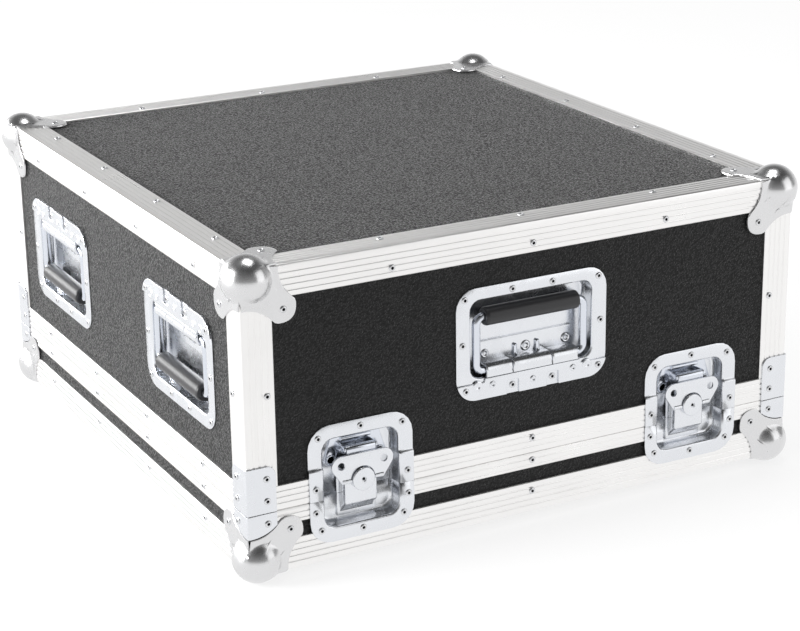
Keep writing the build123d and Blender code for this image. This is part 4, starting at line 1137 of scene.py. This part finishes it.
def roll_ring(x, swell):
    """Section of the roll at one place across the handle, as (x, up, outward) points."""
    section = [(LEAF_TOP, PIVOT_OUT + roll_out - 0.4), (LEAF_TOP + 0.4, PIVOT_OUT + roll_out)]
    section += [(PIVOT_UP + (roll_out + swell) * sin(radians(a)),
                 PIVOT_OUT + (roll_out + swell) * cos(radians(a))) for a in range(-30, 91, 10)]
    section += [(PIVOT_UP + roll_out, -DISH_DEPTH + STRAP_SHEET)]
    section += [(PIVOT_UP + ROLL_IN, -DISH_DEPTH + 0.2)]
    section += [(PIVOT_UP + ROLL_IN * sin(radians(a)), PIVOT_OUT + ROLL_IN * cos(radians(a)))
                for a in range(90, -1, -10)]
    section += [(LEAF_TOP, PIVOT_OUT + ROLL_IN)]
    return [(x, up, out) for up, out in section]


# The roll bulges a little between the two breaks that were sheared to press it round the pivot.
roll_parts = []
outer = ROLL_BREAK + BREAK_GAP
for first, last in ((-ROLL_HALF, -outer), (-ROLL_BREAK, ROLL_BREAK), (outer, ROLL_HALF)):
    swells = [(first, -0.4), (first + 0.4, 0.3), (first + 1.2, 0.9), (last - 1.2, 0.9),
              (last - 0.4, 0.3), (last, -0.4)]
    roll_parts.append(loft([roll_ring(x, swell) for x, swell in swells]))
floor_leaf = plate([box_outline(-51.0, PIVOT_UP + ROLL_IN, 51.0, -3.0, 3.0)],
                   FLOOR_LEAF, -DISH_DEPTH, 0.3)
shoulder = [(-50.6, LEAF_TOP - 0.3), (-51.4, LEAF_SIDE_TOP + 0.4), (-52.2, LEAF_SIDE_TOP),
            (-79.4, LEAF_SIDE_TOP)]
low_left = [(-80 + 20 * (1 - cos(radians(a))), -33.5 - 20 * sin(radians(a))) for a in range(12, 91, 6)]
rivet_notch = rounded([(-40, LEAF_FOOT, 0), (-27.8, LEAF_FOOT, 0.5), (-27.8, -40.0, 2.0),
                       (-14.8, -40.0, 2.0), (-14.8, LEAF_FOOT, 0.5), (0, LEAF_FOOT, 0)])
front_outline = shoulder + low_left + rivet_notch
front_outline += [(-x, y) for x, y in reversed(front_outline) if x < 0] + [(0, LEAF_TOP - 0.3)]
front_leaf = plate([front_outline], STRAP_SHEET, DISH_SHEET, 0.4)


def dimple(radius, height):
    """Round bump that the press leaves over a locating pin, with a sunk middle."""
    return lathe([(radius, -0.3), (radius * 0.97, 0.2 * height), (radius * 0.85, 0.7 * height),
                  (radius * 0.68, height), (radius * 0.5, 0.8 * height), (radius * 0.35, 0.1 * height),
                  (radius * 0.2, -0.1 * height), (radius * 0.05, -0.15 * height)], 24)


front_face, floor_face = DISH_SHEET + STRAP_SHEET, -DISH_DEPTH + FLOOR_LEAF
bumps = [moved(dimple(3.4, 0.9), Matrix.Translation((x, y, front_face)))
         for x, y in ((-43, -40.6), (0, -43.4), (43, -40.6))]
bumps += [moved(dimple(5.2, 0.8), Matrix.Translation((x, -40.0, front_face))) for x in (-58.5, 58.5)]
bumps += [moved(dimple(radius, 1.2), Matrix.Translation((x, -15.2, floor_face)))
          for x, radius in ((-43.3, 4.6), (0, 5.4), (43.3, 5.2))]
piece("handle_straps", merged(*roll_parts, floor_leaf, front_leaf, *bumps), PRESSED, "hood",
      ["handle_straps"], HANDLES)
print("strap outline:", len(front_outline), "points")

# %% Springs
LEG_ACROSS, LEG_RADIUS, LEG_TOP, LEG_DEPTH = 11.9, 2.2, -12.6, -10.5
COIL_RADIUS, COIL_WIDTH, COIL_TURNS, TURN_STEPS = 3.0, 10.4, 5, 16
leg_path = [(PIVOT_UP + 3.0, -5.6), (PIVOT_UP + 5.2, -8.4), (-20.6, -9.8), (-19.0, -10.3),
            (LEG_TOP, LEG_DEPTH)]
leg_end = lathe([(0.1, -2.0), (1.2, -1.7), (LEG_RADIUS, -0.6), (LEG_RADIUS, 0.6), (1.2, 1.7),
                 (0.1, 2.0)], 14)
legs, coils = [], []
for x in (-LEG_ACROSS, LEG_ACROSS):
    legs.append(rod([(x, up, out) for up, out in leg_path], LEG_RADIUS, 14))
    legs.append(moved(leg_end, Matrix.Translation((x, LEG_TOP, LEG_DEPTH))))
for start in (-20.4, 10.0):
    helix = []
    for k in range(COIL_TURNS * TURN_STEPS + 1):
        turn = 2 * pi * k / TURN_STEPS
        helix.append((start + COIL_WIDTH * k / (COIL_TURNS * TURN_STEPS),
                      PIVOT_UP + COIL_RADIUS * cos(turn), PIVOT_OUT + COIL_RADIUS * sin(turn)))
    coils.append(rod(helix, 0.8, 8))
piece("handle_springs", merged(*legs, *coils), BRIGHT, "hood", ["handle_springs"], HANDLES)
print("turns in each coil:", COIL_TURNS)

# %% [markdown]
# ## Foam
# The desk rests on a foam floor and the hood is lined with foam. Sheets cut from a block have
# edges that give a little and faces that aren't quite flat, so each board is a plate with wide
# rounds, cut into a grid and moved by a low wave.

# %% Foam boards
FLOOR_FOAM, ROOF_FOAM, WALL_FOAM = 17.0, 20.0, 10.0
FOAM_GRID, SAG, WAVE, WAVE_SCALE = 24, 0.3, 0.5, 0.03
BED_Z, ROOF_Z, PANEL_AND_FOAM = 21.0, 284.0, 21.0


def foam_board(loops, thickness, edge):
    """Foam board with soft edges and a slightly uneven face, lying in x and y."""
    shape = plate(loops, thickness, 0.0, edge)
    for axis in (0, 1):
        reach = max(abs(p[axis]) for p in shape[0])
        count = int(2 * reach / FOAM_GRID)
        shape = with_cuts(shape, axis, [-reach + 2 * reach * k / count for k in range(1, count)])
    points = []
    for p in shape[0]:
        wave = noise.noise(Vector((p.x, p.y, thickness)) * WAVE_SCALE) * WAVE
        share = p.z / thickness
        points.append(Vector((p.x, p.y, p.z + (wave - SAG) * share)))
    return points, shape[1]


bed = foam_board([box_outline(-278.6, -290.6, 278.6, 290.6, 3)], FLOOR_FOAM, 1.5)
tray_bed = piece("foam_floor", bed, FOAM, "tray", ["tray_foam"],
                 [Matrix.Translation((0, 0, BED_Z))])
roof_pad = foam_board([box_outline(-268.2, -280.2, 268.2, 280.2, 3)], ROOF_FOAM, 1.5)
roof_foam = piece("foam_roof", roof_pad, FOAM, "hood", ["hood_top_foam"],
                  [matrix_of((1, 0, 0), (0, 0, -1), (0, 0, ROOF_Z))])
low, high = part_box("hood_wall_foam")
foam_low, foam_high = low.z / MM, high.z / MM


def handle_hole(along, middle, below, above):
    """Opening in a wall board for the back of a handle's dish."""
    half = 67.3
    return box_outline(along - half, middle - below, along + half, middle + above, 2)


def wall_loops(side):
    """Outline of one wall board, seen from outside, with its openings for the dishes' backs."""
    if side in DEEP:
        holes = [handle_hole(along, SIDE_HANDLE_Z, 43.8, 35.8)
                 for along in (-SIDE_HANDLE_ALONG, SIDE_HANDLE_ALONG)]
        return [box_outline(-280.6, foam_low, 280.6, foam_high, 2)] + holes
    dish_half, dish_top = 41.5, LATCH_Z + LATCH_OPENING[3] + 2.8
    outline = [(-279.0, foam_low)]
    for along in (-LATCH_ALONG, LATCH_ALONG):
        outline += [(along - dish_half, foam_low), (along - dish_half, dish_top),
                    (along + dish_half, dish_top), (along + dish_half, foam_low)]
    outline += [(279.0, foam_low), (279.0, foam_high), (-279.0, foam_high)]
    return [outline] + ([handle_hole(0, FRONT_HANDLE_Z, 35.8, 43.8)] if side == "front" else [])


linings = []
reach_x, reach_y = HALF_WIDTH - PANEL_AND_FOAM, HALF_DEPTH - PANEL_AND_FOAM
for side, (out_x, out_y) in OUTWARD.items():
    board = moved(foam_board(wall_loops(side), WALL_FOAM, 1.0), Matrix.Scale(-1, 4, (0, 0, 1)))
    place = matrix_of((-out_y, out_x, 0), (out_x, out_y, 0), (out_x * reach_x, out_y * reach_y, 0))
    linings.append(moved(board, place @ Matrix.Translation((0, 0, WALL_FOAM))))
wall_foam = piece("foam_walls", merged(*linings), FOAM, "hood", ["hood_wall_foam"])
print("foam boards on the walls:", len(linings))

# %% [markdown]
# ## Studio
# The case stands on a white floor that fades into a white wall, as in a catalogue. The camera sees
# the world as plain white, and polished metal sees a studio: a white sweep low down and behind, a
# room that gets darker upward and towards the front, and four softboxes, behind at the left, at
# the left, above and at the right. Those draw the blurred lights and the dark middle of every
# ball. The left one is the strongest.

# %% Floor
FLOOR_HALF, PAPER_FIBRE_MM = 6000, 2.0
WHITE_TO_CAMERA, WHITE_TO_METAL = 0.7, 0.95


def white_floor():
    """White floor that keeps soft shadows and otherwise reads as white to the camera."""
    material, tree, shader = start_material("studio_floor_white_paper", {
        "Base Color": linear("#fafafa"), "Roughness": 0.9})
    place = add_node(tree, "ShaderNodeTexCoord")
    fibre = add_node(tree, "ShaderNodeTexNoise", {"Scale": per_metre(PAPER_FIBRE_MM), "Detail": 3.0},
                     {"Vector": place.outputs["Object"]})
    bump = add_node(tree, "ShaderNodeBump", {"Strength": 0.05, "Distance": 0.0002},
                    {"Height": fibre.outputs["Fac"]})
    tree.links.new(bump.outputs[0], shader.inputs["Normal"])
    glow = add_node(tree, "ShaderNodeEmission", {"Color": (1, 1, 1, 1), "Strength": 1.0})
    rays = add_node(tree, "ShaderNodeLightPath")
    polished = add_node(tree, "ShaderNodeMath", {"operation": "MULTIPLY", 1: WHITE_TO_METAL},
                        {0: rays.outputs["Is Glossy Ray"]})
    share = add_node(tree, "ShaderNodeMath", {"operation": "MULTIPLY_ADD", 1: WHITE_TO_CAMERA},
                     {0: rays.outputs["Is Camera Ray"], 2: polished.outputs[0]})
    mix = add_node(tree, "ShaderNodeMixShader", {}, {0: share.outputs[0], 1: shader.outputs[0],
                                                     2: glow.outputs[0]})
    tree.links.new(mix.outputs[0], tree.nodes["Material Output"].inputs["Surface"])
    return material


floor_mesh = bpy.data.meshes.new("floor")
floor_shape = loft([[(x, y, 0) for y in (-FLOOR_HALF, FLOOR_HALF)] for x in (-FLOOR_HALF, FLOOR_HALF)],
                   closed=False, caps=False)
floor_mesh.from_pydata([p * MM for p in floor_shape[0]], [], floor_shape[1])
floor_mesh.materials.append(white_floor())
floor = bpy.data.objects.new("floor", floor_mesh)
bpy.context.scene.collection.objects.link(floor)
floor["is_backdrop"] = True
print("floor is", 2 * FLOOR_HALF, "mm wide")

# %% World
world = bpy.data.worlds.new("studio")
bpy.context.scene.world = world
world.use_nodes = True
tree = world.node_tree
tree.nodes.clear()
rays = add_node(tree, "ShaderNodeLightPath")
way = add_node(tree, "ShaderNodeTexCoord")
split = add_node(tree, "ShaderNodeSeparateXYZ", {}, {0: way.outputs["Generated"]})
sweep = add_node(tree, "ShaderNodeMapRange",
                 {"From Min": 0.02, "From Max": 0.75, "To Min": 1.0, "To Max": 0.1},
                 {"Value": split.outputs["Z"]})
behind = add_node(tree, "ShaderNodeMapRange",
                  {"From Min": -0.25, "From Max": 0.35, "To Min": 0.34, "To Max": 1.0},
                  {"Value": split.outputs["Y"]})
room = add_node(tree, "ShaderNodeMath", {"operation": "MULTIPLY"},
                {0: sweep.outputs[0], 1: behind.outputs[0]})
seen = add_node(tree, "ShaderNodeMix", {"data_type": "FLOAT", 2: 0.8},
                {0: rays.outputs["Is Glossy Ray"], 3: room.outputs[0]})
white = add_node(tree, "ShaderNodeMath", {"operation": "MAXIMUM"},
                 {0: seen.outputs[0], 1: rays.outputs["Is Camera Ray"]})
shade = add_node(tree, "ShaderNodeBackground", {"Color": (1, 1, 1, 1)}, {"Strength": white.outputs[0]})
add_node(tree, "ShaderNodeOutputWorld", {}, {"Surface": shade.outputs[0]})
print("world nodes:", len(tree.nodes))

# %% Lamps
def softbox(name, spot, target, size, power):
    """Area lamp, so wide and so high, that looks at a target."""
    lamp = bpy.data.lights.new(name, "AREA")
    lamp.shape, lamp.energy = "RECTANGLE", power
    lamp.size, lamp.size_y = size
    holder = bpy.data.objects.new(name, lamp)
    holder.location = spot
    holder.rotation_euler = (Vector(target) - Vector(spot)).to_track_quat("-Z", "Y").to_euler()
    bpy.context.scene.collection.objects.link(holder)


softbox("back_left", (-1.7, 2.3, 0.75), (-0.1, 0, 0.15), (1.8, 1.1), 40)
softbox("left", (-2.5, 0.3, 0.9), (0, 0.1, 0.15), (1.1, 1.2), 80)
softbox("overhead", (0.1, -0.1, 2.2), (0, 0, 0.2), (0.9, 0.9), 11)
softbox("right", (1.8, -2.1, 1.05), (0, 0, 0.15), (2.0, 2.0), 13)
print("lamps:", len(bpy.data.lights))

# %% [markdown]
# ## Camera
# The camera was found from the straight edges of the case in the photograph. It stands to the left
# and a little above, looks down at the case, and is tipped by less than a degree.

# %% Camera
AZIMUTH, ELEVATION, ROLL = radians(-27.809), radians(19.162), radians(-0.902)
STAND_MM, LENS_MM, FILM_WIDTH_MM = (-981.9, -1904.1, 858.3), 98.12, 36.0
back = Vector((sin(AZIMUTH) * cos(ELEVATION), -cos(AZIMUTH) * cos(ELEVATION), sin(ELEVATION)))
right = (-back).cross(Vector((0, 0, 1))).normalized()
up = right.cross(-back)
right_rolled = right * cos(ROLL) + up * sin(ROLL)
up_rolled = up * cos(ROLL) - right * sin(ROLL)
lens = bpy.data.cameras.new("camera")
lens.sensor_width, lens.lens, lens.clip_end = FILM_WIDTH_MM, LENS_MM, 50.0
camera = bpy.data.objects.new("camera", lens)
turn = Matrix((right_rolled, up_rolled, back)).transposed().to_4x4()
turn.translation = Vector(STAND_MM) * MM
camera.matrix_world = turn
bpy.context.scene.collection.objects.link(camera)
bpy.context.scene.camera = camera
bpy.context.scene.view_settings.view_transform = "Standard"
print("camera at", [round(v, 3) for v in camera.location])

# %% Sizes, and the end
low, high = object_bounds()
